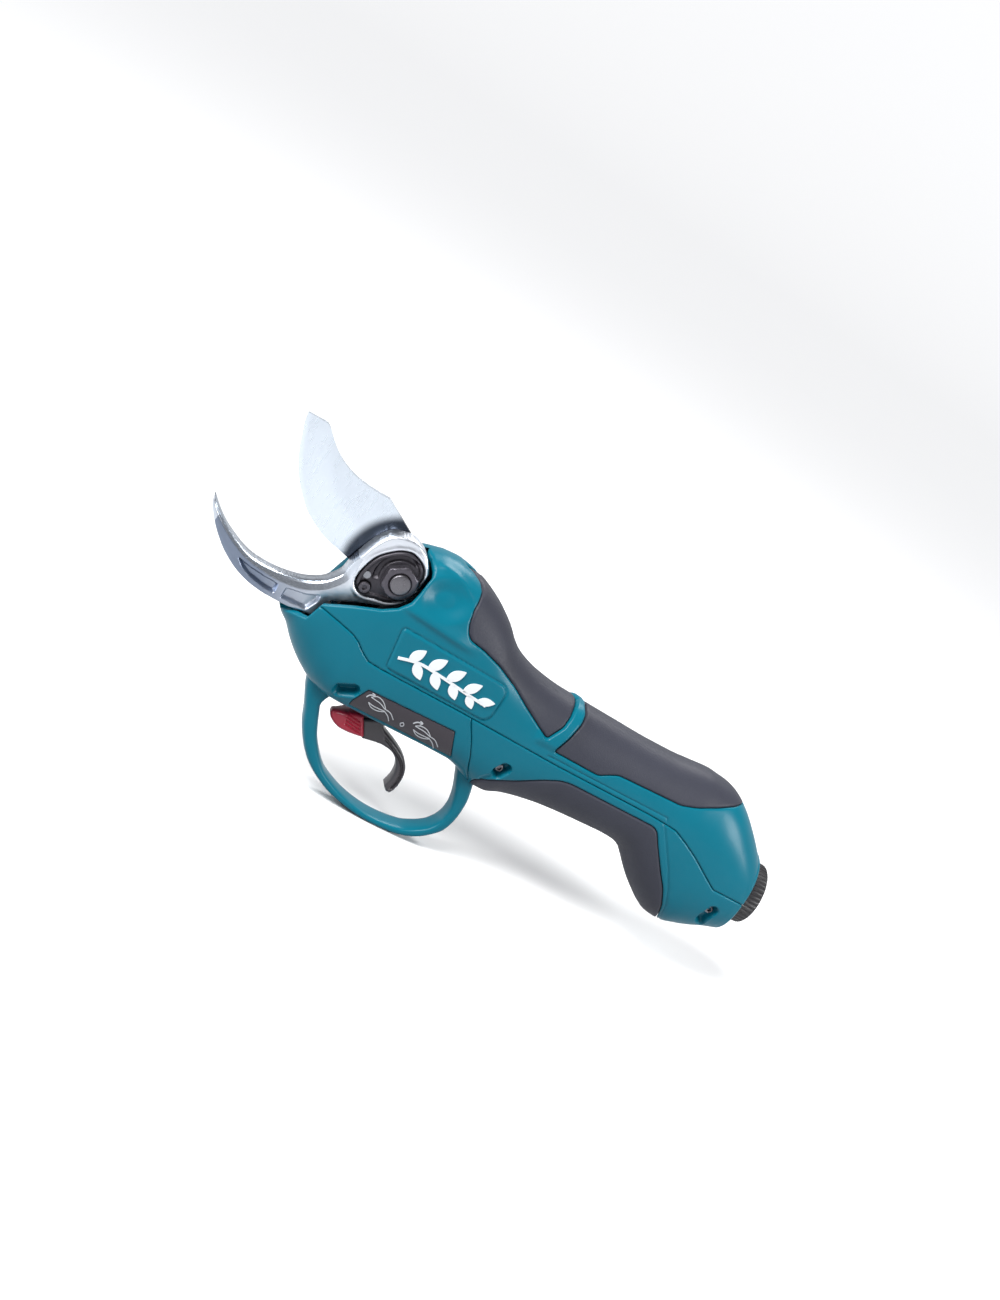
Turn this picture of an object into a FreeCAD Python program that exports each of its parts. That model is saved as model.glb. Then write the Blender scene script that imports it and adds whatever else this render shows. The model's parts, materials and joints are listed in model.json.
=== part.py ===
import FreeCAD, Part
import math
import os
from FreeCAD import Vector as V, Placement, Rotation

# Battery electric pruner, millimetres.
# Working frame: blade pivot at (0, 0, 0), blades towards -X, tail towards +X, finger guard
# towards -Z. Left is -Y, the counter blade's side; right is +Y. Every piece is then moved by the
# sheet's offset, so that the origin is the centre of the cord socket's mouth.

os.makedirs("parts", exist_ok=True)
doc = FreeCAD.newDocument("pruner")
sheet = doc.addObject("Spreadsheet::Sheet", "Params")

DIMENSIONS = {
    "offset_x": -220.7, "offset_z": 55.6,
    # casing
    "skin_depth": 1.6, "wall": 3.2, "plate_depth": 0.8, "guard_half_width": 6.0,
    # blades and pivot
    "blade_half": 1.6, "hook_inner": 1.7, "hook_outer": 10.7,
    "bolt_radius": 6.0, "thread_radius": 4.2, "bolt_head_radius": 10.0,
    "nut_flats": 14.2, "nut_height": 6.0, "nut_seat": 8.2, "lock_plate_thick": 1.9,
    "bush_outer": 7.5, "shaft_gap": 0.05,
    # crosshead drive
    "pin_drop": 24.0, "pin_radius": 3.0, "pin_rest_x": -9.697, "fork_half_gap": 3.3,
    "drive_z": -37.0, "screw_radius": 4.0, "screw_start": -18.0, "screw_end": 53.0,
    "nut_body_radius": 8.0, "nut_body_length": 24.0, "ear_inner": 1.9, "ear_outer": 5.5,
    "rod_z": -47.0, "rod_radius": 2.0, "plate_in": 8.6, "plate_out": 10.8,
    "bearing_outer": 11.0, "bearing_inner": 4.0, "bearing_width": 7.0, "bearing_start": 44.5,
    # planetary stage
    "gear_module": 0.7, "sun_teeth": 12, "planet_teeth": 12, "ring_teeth": 36,
    "gear_start": 57.0, "gear_width": 6.5, "planet_bore": 1.6,
    "case_radius": 15.4, "case_start": 52.0, "case_end": 69.0,
    # motor
    "motor_radius": 14.2, "motor_start": 69.1, "motor_end": 119.0, "motor_wall": 1.2,
    "rotor_radius": 6.9, "stator_bore": 7.3, "shaft_radius": 2.5,
    # cord socket
    "tail_z": -55.6, "mouth_x": 220.7, "socket_radius": 12.4, "socket_bore": 9.5,
    "socket_depth": 9.0, "ring_radius": 14.4, "ring_start": 212.8, "contact_radius": 1.0,
    # trigger
    "trigger_half_width": 4.0, "trigger_pin_x": 31.0, "trigger_pin_z": -55.0,
    "trigger_pin_radius": 1.5,
}
for row, (name, value) in enumerate(DIMENSIONS.items(), start=1):
    sheet.set("B%d" % row, repr(value))
    sheet.set("A%d" % row, name)
    sheet.setAlias("B%d" % row, name)
doc.recompute()


class SheetReader:
    """Reads a dimension from the sheet by its alias."""

    def __getattr__(self, alias):
        return float(sheet.get(alias))


dim = SheetReader()
DRIVE_Z = dim.drive_z
PIN_X, PIN_Z = dim.pin_rest_x, -dim.pin_drop
CROSSHEAD_END = PIN_X + 9.0

pieces = []


# ---------------------------------------------------------------- helpers
def place(obj, label, start=V(), rotation=Rotation()):
    """Label a finished piece and move it from the working frame by the sheet's offset."""
    obj.Label = label
    obj.Placement = Placement(start + V(dim.offset_x, 0, dim.offset_z), rotation)
    obj.setExpression("Placement.Base.x", "Params.offset_x + (%s)" % start.x)
    obj.setExpression("Placement.Base.z", "Params.offset_z + (%s)" % start.z)
    pieces.append(obj)


def add_feature(label, shape):
    obj = doc.addObject("Part::Feature", label)
    obj.Shape = shape
    place(obj, label)


def assign(obj, prop, value):
    """Set a property to a number, or bind it to an expression given as text."""
    if isinstance(value, str):
        obj.setExpression(prop, value)
    else:
        setattr(obj, prop, value)


# An outline is a list of segments, each a list of points: two make a line, more a smooth curve.
def segment_curve(points):
    if len(points) == 2:
        return Part.LineSegment(points[0], points[1])
    curve = Part.BSplineCurve()
    curve.interpolate(points)
    return curve


def closed(points):
    return points + [points[0]]


def polygon(points):
    """Outline of straight segments through all points."""
    return [[start, end] for start, end in zip(points, points[1:] + points[:1])]


def prism(outline, y0, y1):
    """Solid between y0 and y1 of an outline in x, z."""
    edges = [segment_curve([V(x, y0, z) for x, z in seg]).toShape() for seg in outline]
    wire = Part.Wire(Part.__sortEdges__(edges))
    return Part.Face(wire).extrude(V(0, y1 - y0, 0))


def polygon_prism(points, y0, y1):
    return prism(polygon(points), y0, y1)


def hexagon(flats, turn=0.0):
    radius = flats / 2 / math.cos(math.pi / 6)
    return [(radius * math.cos(turn + math.pi / 3 * k), radius * math.sin(turn + math.pi / 3 * k))
            for k in range(6)]


def cyl_x(radius, length, x, y=0, z=DRIVE_Z):
    """Cylinder from x towards +X, on the drive axis unless told otherwise."""
    return Part.makeCylinder(radius, length, V(x, y, z), V(1, 0, 0))


def cyl_y(radius, length, x, y, z):
    """Cylinder from y towards +Y."""
    return Part.makeCylinder(radius, length, V(x, y, z), V(0, 1, 0))


def tube_x(outer_radius, inner_radius, length, x, z=DRIVE_Z):
    bore = cyl_x(inner_radius, length + 2, x - 1, z=z)
    return cyl_x(outer_radius, length, x, z=z).cut(bore)


def torus_x(major, minor, x, z=DRIVE_Z):
    return Part.makeTorus(major, minor, V(x, 0, z), V(1, 0, 0))


def turned(shape, degrees, z):
    """Copy turned about the X axis, then raised to z."""
    result = shape.copy()
    result.rotate(V(), V(1, 0, 0), degrees)
    result.translate(V(0, 0, z))
    return result


def cut_all(shape, tools):
    for tool in tools:
        shape = shape.cut(tool)
    return shape


def drop_slivers(shape, smallest=30.0):
    """Drop the slivers a cut leaves behind."""
    solids = [solid for solid in shape.Solids if solid.Volume > smallest]
    solids.sort(key=lambda solid: -solid.Volume)
    return solids[0] if len(solids) == 1 else Part.makeCompound(solids)


# Sketches on XZ_Plane face -Y: level is -y, a pad grows towards -Y, a pocket cuts towards +Y.
def sketch(body, name, outline=(), circles=(), role="XZ_Plane", level=0.0):
    """Sketch of segments and of circles (u, v, radius); level is a number or an expression."""
    result = body.newObject("Sketcher::SketchObject", name)
    base = next(f for f in body.Origin.OriginFeatures if f.Role == role)
    result.AttachmentSupport = [(base, "")]
    result.MapMode = "FlatFace"
    if isinstance(level, str):
        result.setExpression("AttachmentOffset.Base.z", level)
    else:
        result.AttachmentOffset = Placement(V(0, 0, level), Rotation())
    for seg in outline:
        result.addGeometry(segment_curve([V(u, v, 0) for u, v in seg]), False)
    for u, v, radius in circles:
        result.addGeometry(Part.Circle(V(u, v, 0), V(0, 0, 1), radius), False)
    return result


def extrude(kind, body, profile, name, length, reverse=False):
    feature = body.newObject("PartDesign::" + kind, name)
    feature.Profile = profile
    assign(feature, "Length", length)
    feature.Reversed = reverse


def pad(*args, **options):
    extrude("Pad", *args, **options)


def pocket(*args, **options):
    extrude("Pocket", *args, **options)


def part_cylinder(name, radius, height, start=V(), direction=V(0, 0, 1)):
    obj = doc.addObject("Part::Cylinder", name)
    assign(obj, "Radius", radius)
    assign(obj, "Height", height)
    obj.Placement = Placement(start, Rotation(V(0, 0, 1), direction))
    return obj


# ---------------------------------------------------------------- casing body
# (x, z) of the top and bottom, (x, half width), (x, exponent of the superellipse section)
TOP = [(-36.5, -31.5), (-34, -25), (-30, -13), (-25, -3), (-20, 4), (-15, 8.6), (-8, 12),
       (0, 13.8), (8, 16.2), (15, 17.6), (20, 17.9), (25, 17.2), (30, 16.0), (35, 14.4),
       (40, 12.2), (45, 9.6), (50, 6.4), (55, 2.7), (60, -2.0), (65, -5.7), (70, -8.0),
       (75, -9.6), (80, -10.7), (90, -12.1), (100, -12.7), (120, -13.7), (140, -14.5),
       (150, -14.5), (160, -13.8), (170, -13.1), (175, -13.6), (180, -14.2), (185, -15.6),
       (190, -18.0), (195, -21.3), (200, -25.5), (205, -30.1), (210, -35.2), (212.6, -38.2)]
BOTTOM = [(-36.5, -35.5), (-34, -38.5), (-30, -41.6), (-25, -46.9), (-20, -51.4), (-15, -55.0),
          (-8, -58.6), (0, -60.0), (8, -60.3), (30, -60.3), (50, -60.3), (60, -60.9),
          (66, -62.6), (72, -65.4), (78, -67.6), (83, -67.8), (90, -65.4), (100, -63.2),
          (110, -61.8), (120, -61.1), (130, -60.7), (140, -60.4), (147, -60.8), (152, -62.6),
          (156, -65.9), (160, -69.8), (165, -74.4), (170, -78.2), (175, -81.6), (180, -83.9),
          (187, -85.2), (195, -84.0), (200, -82.5), (205, -80.5), (212.6, -78.0)]
HALF_WIDTH = [(-36.5, 5.5), (-34, 10.5), (-30, 14.3), (-25, 17.0), (-20, 18.6), (-15, 19.6),
              (-8, 20.6), (0, 21.2), (15, 21.4), (30, 20.9), (45, 20.1), (60, 19.4), (75, 18.9),
              (90, 18.3), (105, 18.0), (140, 18.0), (160, 18.6), (175, 19.5), (188, 20.0),
              (200, 19.8), (208, 18.9), (212.6, 17.6)]
EXPONENT = [(-36.5, 2.0), (-20, 2.2), (0, 2.45), (60, 2.5), (90, 2.35), (150, 2.3), (175, 2.4),
            (212.6, 2.3)]
# x of the loft's sections
STATIONS = [-36.5, -35, -33, -30.5, -27.5, -24, -20, -15, -8, 0, 10, 20, 30, 40, 50, 57, 64, 70,
            76, 83, 91, 100, 112, 126, 138, 146, 152, 158, 165, 173, 181, 189, 197, 205, 212.6]
SECTION_POINTS = 28
SHALLOW_ENDS = (-33.5, 213.0)   # front and back x of the two shallow inner skins
WALL_ENDS = (-31.0, 209.0)      # front and back x of the wall's inside


def table_at(table, x):
    """Monotone cubic through the table, held level beyond its ends."""
    if x <= table[0][0]:
        return table[0][1]
    if x >= table[-1][0]:
        return table[-1][1]
    spans = [end[0] - start[0] for start, end in zip(table, table[1:])]
    slopes = [(table[i + 1][1] - table[i][1]) / span for i, span in enumerate(spans)]
    tangents = [slopes[0]]
    for i in range(1, len(spans)):
        if slopes[i - 1] * slopes[i] <= 0:
            tangents.append(0.0)
        else:
            before = 2 * spans[i] + spans[i - 1]
            after = spans[i] + 2 * spans[i - 1]
            tangents.append((before + after) / (before / slopes[i - 1] + after / slopes[i]))
    tangents.append(slopes[-1])
    i = next(k for k in range(len(spans)) if x <= table[k + 1][0])
    u = (x - table[i][0]) / spans[i]
    return ((2 * u**3 - 3 * u**2 + 1) * table[i][1]
            + (u**3 - 2 * u**2 + u) * spans[i] * tangents[i]
            + (-2 * u**3 + 3 * u**2) * table[i + 1][1]
            + (u**3 - u**2) * spans[i] * tangents[i + 1])


def skin(depth, front=STATIONS[0], back=STATIONS[-1]):
    """Solid of the casing's outside, taken in by depth."""
    stations = [front] + [x for x in STATIONS if front + 1.0 < x < back - 1.0] + [back]
    wires = []
    for x in stations:
        top, bottom = table_at(TOP, x) - depth, table_at(BOTTOM, x) + depth
        half_width = table_at(HALF_WIDTH, x) - depth
        power = 2 / table_at(EXPONENT, x)
        centre, half_height = (top + bottom) / 2, (top - bottom) / 2
        points = []
        for k in range(SECTION_POINTS):
            angle = 2 * math.pi * k / SECTION_POINTS
            c, s = math.cos(angle), math.sin(angle)
            points.append(V(x, half_width * math.copysign(abs(c) ** power, c),
                            centre + half_height * math.copysign(abs(s) ** power, s)))
        curve = Part.BSplineCurve()
        curve.interpolate(Points=points, PeriodicFlag=True,
                          Parameters=[k / SECTION_POINTS for k in range(SECTION_POINTS + 1)])
        wires.append(Part.Wire(curve.toShape()))
    return Part.makeLoft(wires, True, False)


outer = skin(0.0)
inner = skin(dim.wall, *WALL_ENDS)
shell = outer.cut(inner)
grip_band = outer.cut(skin(dim.skin_depth, *SHALLOW_ENDS))

# Finger guard: outer and inner curve of the ring, (x, z)
GUARD_OUT = [(-9.5, -57.5), (-7.8, -62.2), (-5.3, -67.2), (-2.8, -72), (0.5, -79.3), (5, -86.2),
             (9.5, -91.3), (13.5, -94.6), (18, -97.4), (23, -99.9), (28, -101.8), (38, -104.2),
             (48, -105.3), (58, -105.2), (63, -104.6), (68, -103.2), (73, -100.6), (78, -96.4),
             (80.6, -92.8), (82.4, -86), (82.5, -78), (81.6, -73), (80, -67), (79, -60)]
GUARD_IN = [(62, -57.5), (66.5, -60.5), (69.5, -65), (72, -69.9), (74.7, -75.6), (76.7, -82),
            (76.6, -88), (74.7, -92.6), (72, -95.7), (67, -98.9), (62, -100.9), (52, -102.1),
            (42, -101.5), (32, -99.1), (22, -94.7), (16.5, -90.2), (10.5, -83), (7.5, -78),
            (4.2, -71), (2.6, -66.5), (4.5, -61.5), (9, -57.5)]


def guard_ring():
    outline = [GUARD_OUT, [GUARD_OUT[-1], GUARD_IN[0]], GUARD_IN, [GUARD_IN[-1], GUARD_OUT[0]]]
    ring = prism(outline, -dim.guard_half_width, dim.guard_half_width)
    # guards the rounding of the long edges: the ring stays sharp if the kernel can't fillet it
    try:
        ring = ring.makeFillet(1.1, [edge for edge in ring.Edges if edge.Length > 120])
    except Exception:
        pass
    return ring


# Room for the cutting head, (x, z). On the left and in the middle the casing keeps clear of it;
# on the right it carries on over the head frame and is cut back only in front of it.
HEAD_CUT = [(-60, -31.6), (-60, 60), (4, 60), (3.2, 19.5), (6.6, 16.6), (10.4, 11.6),
            (11.6, 8.4), (11.1, -0.6), (10, -6.2), (6.6, -11.2), (1.0, -15.2), (-9.4, -19.2),
            (-18.5, -23.5), (-19.8, -25), (-22.4, -33.4), (-30, -34.0), (-36, -34.6)]
RIGHT_CUT = [(-60, -33), (-60, 60), (0, 60), (-1.5, 14), (-8, 10.5), (-13.5, 2.5), (-17, -9),
             (-20, -20), (-27, -29), (-33, -32.6)]
FRAME_ROOM = [(-19.0, -31.0), (-16, -6), (-14.5, 3.5), (-9.5, 11), (-2, 30), (9.5, 30),
              (14.5, 9), (16.5, -3), (25, -15.5), (20, -34)]
head_room = polygon_prism(HEAD_CUT, -40, 2.0).multiFuse([
    polygon_prism(RIGHT_CUT, 1.9, 40),
    polygon_prism(FRAME_ROOM, 1.9, 11.6),
    cyl_y(13.6, 4.0, 0, -2.0, 0),       # frame's hub
    cyl_y(12.2, 30, 0, 10, 0),          # bolt head
])

# Regions that divide the casing, (x, z)
PARTING_LINE = [(-60, -23), (-24, -23), (-15, -25), (-7, -27), (-3, -29), (0, -31.5), (5, -34.5),
                (12, -35), (50, -35.5), (75, -36.2), (100, -37), (150, -38), (160, -38.5),
                (165, -39), (172, -42), (180, -46), (190, -52), (196, -55.5), (240, -55.5)]
GUARD_REGION = [(-60, -10), (52, -10), (57, -36.5), (62, -44), (66, -51.5), (68, -57),
                (72, -59.5), (95, -59.5), (95, -140), (-60, -140)]
LABEL_REGION = [(12, -44.5), (55, -45), (59.5, -55.5), (6, -55.5), (9, -49)]
FRONT_GRIP = [
    [(16, 32), (16, 24)],
    [(16, 24), (22, 22), (27, 19.0), (30, 15.5), (31, 12), (31.5, 7), (33, 1), (35, -3),
     (37.5, -5.2)],
    [(37.5, -5.2), (45, -7), (55, -10.5), (65, -15), (75, -20.5), (85, -25.8), (90, -28)],
    [(90, -28), (93.5, -20), (93.5, -14), (92, -8), (91.5, 32)],
    [(91.5, 32), (16, 32)]]
REAR_GRIP = [
    [(96, 20), (99.5, -11), (100.5, -16), (99.5, -24), (97, -32.5)],
    [(97, -32.5), (120, -33)],
    [(120, -33), (124, -30.5), (128, -28.5)],
    [(128, -28.5), (160, -27.5)],
    [(160, -27.5), (167, -25), (175, -20.5), (182, -15.5), (184, 20)],
    [(184, 20), (96, 20)]]
LOWER_GRIP = [
    [(73, -75), (73, -61)],
    [(73, -61), (80, -57.5), (90, -52.5), (100, -46.5), (107, -43), (112, -42)],
    [(112, -42), (155, -42)],
    [(155, -42), (158, -43.5), (162, -49), (170, -59), (176, -66), (180, -73), (181, -77.5),
     (181.5, -95)],
    [(181.5, -95), (86, -95)],
    [(86, -95), (86, -75)],
    [(86, -75), (73, -75)]]
upper_region = polygon_prism(PARTING_LINE + [(240, 80), (-60, 80)], -40, 40)
lower_region = polygon_prism(PARTING_LINE + [(240, -140), (-60, -140)], -40, 40)
guard_region = polygon_prism(GUARD_REGION, -40, 40)
front_grip_region = prism(FRONT_GRIP, -40, 40)
rear_grip_region = prism(REAR_GRIP, -40, 40)
left_half = Part.makeBox(400, 60, 300, V(-80, -60, -180))
right_half = Part.makeBox(400, 60, 300, V(-80, 0, -180))

# Screw bosses along Y, from the front to the tail: slot centre (x, z), half run of the slot
# (x, z), screw centre (x, z), y of the head's seat, radius of tower, screw head and slot
BOSSES = [((5.8, -52.6), (1.8, 1.6), (5.0, -53.5), -10.3, 2.8, 2.4, 2.9),
          ((82.2, -53.8), (2.0, -2.2), (82.9, -54.9), -12.5, 2.8, 2.6, 3.2),
          ((199.0, -66.0), (-1.6, -3.6), (199.0, -66.0), -14.0, 3.9, 3.0, 3.4)]
SCREW_RADIUS = 1.5


def slot_solid(centre, half_run, radius, y0, y1):
    x0, z0 = centre[0] + half_run[0], centre[1] + half_run[1]
    x1, z1 = centre[0] - half_run[0], centre[1] - half_run[1]
    scale = radius / math.hypot(*half_run)
    nx, nz = -half_run[1] * scale, half_run[0] * scale
    middle = polygon_prism([(x0 + nx, z0 + nz), (x1 + nx, z1 + nz),
                            (x1 - nx, z1 - nz), (x0 - nx, z0 - nz)], y0, y1)
    return cyl_y(radius, y1 - y0, x0, y0, z0).multiFuse(
        [cyl_y(radius, y1 - y0, x1, y0, z1), middle])


def screw_boss(centre, half_run, screw, seat, tower_radius, head_radius, slot_radius):
    """Solids to add and solids to cut for one boss; the first cut is the head's recess."""
    x, z = screw
    added = [slot_solid(centre, half_run, slot_radius + 1.5, -24, seat + 2.0).common(outer),
             cyl_y(tower_radius, 28, x, -14, z).common(outer)]
    cuts = [slot_solid(centre, half_run, slot_radius, -30, seat),
            cyl_y(1.8, 32, x, -16, z).cut(right_half),
            cyl_y(SCREW_RADIUS, 11.0, x, -0.1, z)]
    return added, cuts


def housing_screws():
    screws = []
    for _, _, (x, z), seat, _, head_radius, _ in BOSSES:
        head = cyl_y(head_radius, 2.4, x, seat - 2.4, z)
        head = head.cut(cyl_y(1.3, 1.4, x, seat - 2.5, z))
        screws.append(head.fuse(cyl_y(SCREW_RADIUS, 10.8 - seat, x, seat, z)))
    return Part.makeCompound(screws)


(front_added, front_cuts), (middle_added, middle_cuts), (tail_added, tail_cuts) = [
    screw_boss(*row) for row in BOSSES]

# Tail wall that holds the cord socket
tail_wall = cyl_x(17.0, 6.0, 203.0, z=dim.tail_z).common(outer)
tail_cutters = [cyl_x(dim.socket_radius, 30, 190, z=dim.tail_z),
                cyl_x(13.65, 3.0, 210.9, z=dim.tail_z)]     # room for the seal
# Room for the trigger's neck and lock
trigger_slot = Part.makeBox(26, 11, 14, V(21.5, -5.5, -66))


def upper_shell():
    upper = shell.common(upper_region).cut(front_grip_region.common(grip_band))
    upper = upper.cut(rear_grip_region.common(grip_band)).cut(head_room)
    return cut_all(upper.fuse(tail_wall.common(upper_region)), tail_cutters)


def lower_casing(lower_grip, label_plate):
    """Everything below the parting line, finger guard included."""
    lower = shell.multiFuse([guard_ring().cut(inner)]).common(lower_region)
    return cut_all(lower, [head_room, lower_grip, label_plate, trigger_slot])


def guard_shell(lower, label_plate):
    # ears that hold the trigger pin
    ears = Part.makeBox(10, 3.0, 8.5, V(26, -9.2, -59.5)).fuse(
        Part.makeBox(10, 3.0, 8.5, V(26, 6.2, -59.5))).common(outer)
    pin_hole = cyl_y(dim.trigger_pin_radius, 30, dim.trigger_pin_x, -15, dim.trigger_pin_z)
    heel_screw_access = cyl_y(4.3, 30, HEEL[0], 7.0, HEEL[1])
    guard = lower.common(guard_region).multiFuse(front_added + [ears])
    return cut_all(guard, front_cuts + [pin_hole, label_plate, trigger_slot, heel_screw_access])


def lower_shell(lower, lower_grip):
    added = [shape.cut(guard_region) for shape in middle_added] + tail_added
    rear = lower.cut(guard_region).multiFuse(added)
    rear = cut_all(rear, middle_cuts + tail_cuts + [lower_grip])
    return cut_all(rear.fuse(tail_wall.common(lower_region)), tail_cutters)


# ---------------------------------------------------------------- counter blade (hook)
HEEL = (-24, -34)               # heel screw, (x, z)
LOCK_SCREW = (-11.5, -9.3)      # lock plate's screw, (x, z)
LOCK_DOWEL = (-13.3, -4.0)      # lock plate's dowel, (x, z)
LOCK_HOLES = [LOCK_SCREW + (1.65,), LOCK_DOWEL + (1.65,)]

# Outlines (x, z) of the hook's outer face and of the face beside the moving blade
HOOK_OUTER = [
    [(-84.5, -5), (-82.5, -7), (-76.5, -12.6), (-70, -17), (-62, -21), (-55, -22.7), (-45, -23),
     (-35, -21.5), (-28, -19.5), (-24, -17.5), (-21, -14.5)],
    [(-21, -14.5), (-20.8, -8), (-20, -1), (-18.5, 5), (-16, 11), (-12, 16), (-6, 18)],
    [(-6, 18), (-2, 18)],
    [(-2, 18), (2, 16.5), (5, 14.5), (8.5, 10), (9.5, 8)],
    [(9.5, 8), (9, 0), (8, -5), (5, -9.5), (0, -13), (-10, -17), (-20.5, -22)],
    [(-20.5, -22), (-24, -31.5)],
    [(-24, -31.5), (-30, -32), (-35, -32.7), (-45, -32.6), (-50, -32.1), (-55, -31.1),
     (-60, -29.4), (-65, -27), (-70, -23.9), (-74, -20.6), (-77, -17.7), (-80, -14.2),
     (-83, -10)],
    [(-83, -10), (-84.5, -5)]]
HOOK_INNER = [
    [(-84.2, -5.3), (-81.5, -8), (-76.7, -12.2), (-70.5, -16.2), (-62, -20.1), (-55, -21.7),
     (-45, -21.8), (-35, -19.9), (-28, -16.5), (-24.4, -13), (-21.9, -9)],
    [(-21.9, -9), (-21.2, -4.5), (-20.2, -0.5), (-18.5, 5), (-16, 11), (-12, 16), (-6, 18)],
    *HOOK_OUTER[2:-1],
    [(-83, -10), (-84.2, -5.3)]]
LUG = [(-29.5, -28), (-28, -37.5), (-20, -37.5), (-22.0, -26)]
# Drop-shaped seat of the lock plate
SEAT = [(-16.5, -6), (-15.5, -10), (-12.5, -12.3), (-9, -12.6), (-5, -11.6), (0, -10.6),
        (4, -8.2), (7.35, -4.4), (7.9, 1), (7.9, 6), (6, 9.8), (2, 12.4), (-2, 13.2), (-6, 12),
        (-10, 9), (-13.5, 5), (-15.5, 0)]
FRONT_RECESS = [(-63.0, -23.9), (-57, -25.2), (-50, -25.8), (-43, -26.0), (-42.7, -30.2),
                (-48, -29.8), (-55, -28.6), (-60, -26.6)]
REAR_RECESS = [(-39.3, -26), (-31, -24.6), (-25.4, -22.6), (-25.2, -24.5), (-27.4, -29.8),
               (-39.3, -30.3)]


def counter_blade(body):
    inner_face = sketch(body, "hook_far", HOOK_INNER, level="Params.hook_inner")
    outer_face = sketch(body, "hook_near", HOOK_OUTER, level="Params.hook_outer")
    loft = body.newObject("PartDesign::AdditiveLoft", "hook_loft")
    loft.Profile = inner_face
    loft.Sections = [outer_face]
    loft.Ruled = True
    profile = sketch(body, "lug_sketch", polygon(LUG), level="Params.hook_inner")
    pad(body, profile, "heel_lug", 5.3)
    profile = sketch(body, "seat_sketch", [closed(SEAT)], level="Params.hook_outer")
    pocket(body, profile, "plate_seat", "Params.hook_outer - Params.nut_seat")
    profile = sketch(body, "arm_pocket_sketch", polygon(FRONT_RECESS) + polygon(REAR_RECESS),
                     level="Params.hook_outer")
    pocket(body, profile, "arm_pockets", 2.6)
    # sketch name, name, circles, level, depth
    for sketch_name, hole_name, circles, level, depth in (
            ("bore_sketch", "thread_clearance", [(0, 0, 4.35)], 12, 14),
            ("bore2_sketch", "shank_bore", [(0, 0, 6.05)], 6.1, 6.0),
            ("small_holes_sketch", "lock_holes", LOCK_HOLES, 12, 8.0),
            ("heel_hole_sketch", "heel_hole", [HEEL + (2.55,)], 12, 14)):
        profile = sketch(body, sketch_name, circles=circles, level=level)
        pocket(body, profile, hole_name, depth)


# ---------------------------------------------------------------- moving blade
FORK_ANGLE = math.radians(248)      # of the fork's axis, from +X towards +Z
FORK_HALF_WIDTH = 7.3
FORK_END = 30                       # distance of the prongs' ends from the pivot


def fork_point(along, across):
    c, s = math.cos(FORK_ANGLE), math.sin(FORK_ANGLE)
    return (c * along - s * across, s * along + c * across)


def blade_outline():
    gap = dim.fork_half_gap
    shoulder = fork_point(13, FORK_HALF_WIDTH)
    end, slot_end = fork_point(FORK_END, FORK_HALF_WIDTH), fork_point(FORK_END, gap)
    slot_root, far_root = fork_point(20.6, gap), fork_point(20.6, -gap)
    far_slot_end = fork_point(FORK_END, -gap)
    far_end = fork_point(FORK_END, -FORK_HALF_WIDTH)
    far_shoulder = fork_point(15, -FORK_HALF_WIDTH)
    return [
        [(-67.9, 42.1), (-58.9, 42.1)],
        [(-58.9, 42.1), (-56.9, 41.1), (-53.9, 38.1), (-49.9, 34.6), (-46.9, 32.4),
         (-41.9, 29.8), (-36.9, 28.1), (-31.9, 27.1), (-26.9, 26.6), (-19.4, 26.4)],
        [(-19.4, 26.4), (1.1, 14.7)],
        [(1.1, 14.7), (5.5, 12.2), (8.8, 8.4), (10.2, 3.5), (10, -2), (8.2, -6.2), (6, -9.5)],
        [(6, -9.5), shoulder],
        [shoulder, end],
        [end, slot_end],
        [slot_end, slot_root],
        [slot_root, fork_point(20.2, 0), far_root],
        [far_root, far_slot_end],
        [far_slot_end, far_end],
        [far_end, far_shoulder],
        [far_shoulder, (-16, -7.5), (-20.4, -5.1)],
        [(-20.4, -5.1), (-25.9, -3.7), (-31.9, -2.4), (-36.9, -0.6), (-41.9, 1.9), (-46.9, 5.1),
         (-51.9, 9.9), (-56.9, 15.6), (-61.9, 24.1), (-64.9, 31.6), (-66.9, 37.1),
         (-67.9, 42.1)]]


def moving_blade(body):
    profile = sketch(body, "blade_sketch", blade_outline(), level="Params.blade_half")
    pad(body, profile, "blade_pad", "Params.blade_half * 2", reverse=True)
    profile = sketch(body, "blade_bore_sketch", circles=[(0, 0, dim.bush_outer)], level=3)
    pocket(body, profile, "blade_bore", 6)


# ---------------------------------------------------------------- pivot hardware
NUT_TURN = math.radians(32)
HEAD_SEAT = 11.6        # y of the bolt head's underside


def pivot_bolt():
    bolt = cyl_y(dim.bolt_radius, HEAD_SEAT + 6.0, 0, -6.0, 0).multiFuse([
        cyl_y(dim.thread_radius, 9.6, 0, -15.5, 0),
        cyl_y(dim.bolt_head_radius, 4.2, 0, HEAD_SEAT, 0)])
    bolt = bolt.cut(polygon_prism(hexagon(7.0), 16, 13))
    return bolt.cut(cyl_y(1.9, 3.0, 0, -15.6, 0))


def pivot_bush():
    bush = doc.addObject("Part::Cut", "pivot_bush")
    bush.Base = part_cylinder("bush_outer_cyl", "Params.bush_outer", "Params.blade_half * 2",
                              V(0, dim.blade_half, 0), V(0, -1, 0))
    bush.Tool = part_cylinder("bush_inner_cyl", "Params.bolt_radius + Params.shaft_gap", 6.0,
                              V(0, 3.0, 0), V(0, -1, 0))
    place(bush, "pivot_bush")


def pivot_nut(body):
    profile = sketch(body, "nut_sketch", polygon(hexagon(dim.nut_flats, NUT_TURN)),
                     circles=[(0, 0, 4.25)], level=8.25)
    pad(body, profile, "nut_pad", "Params.nut_height")


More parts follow.
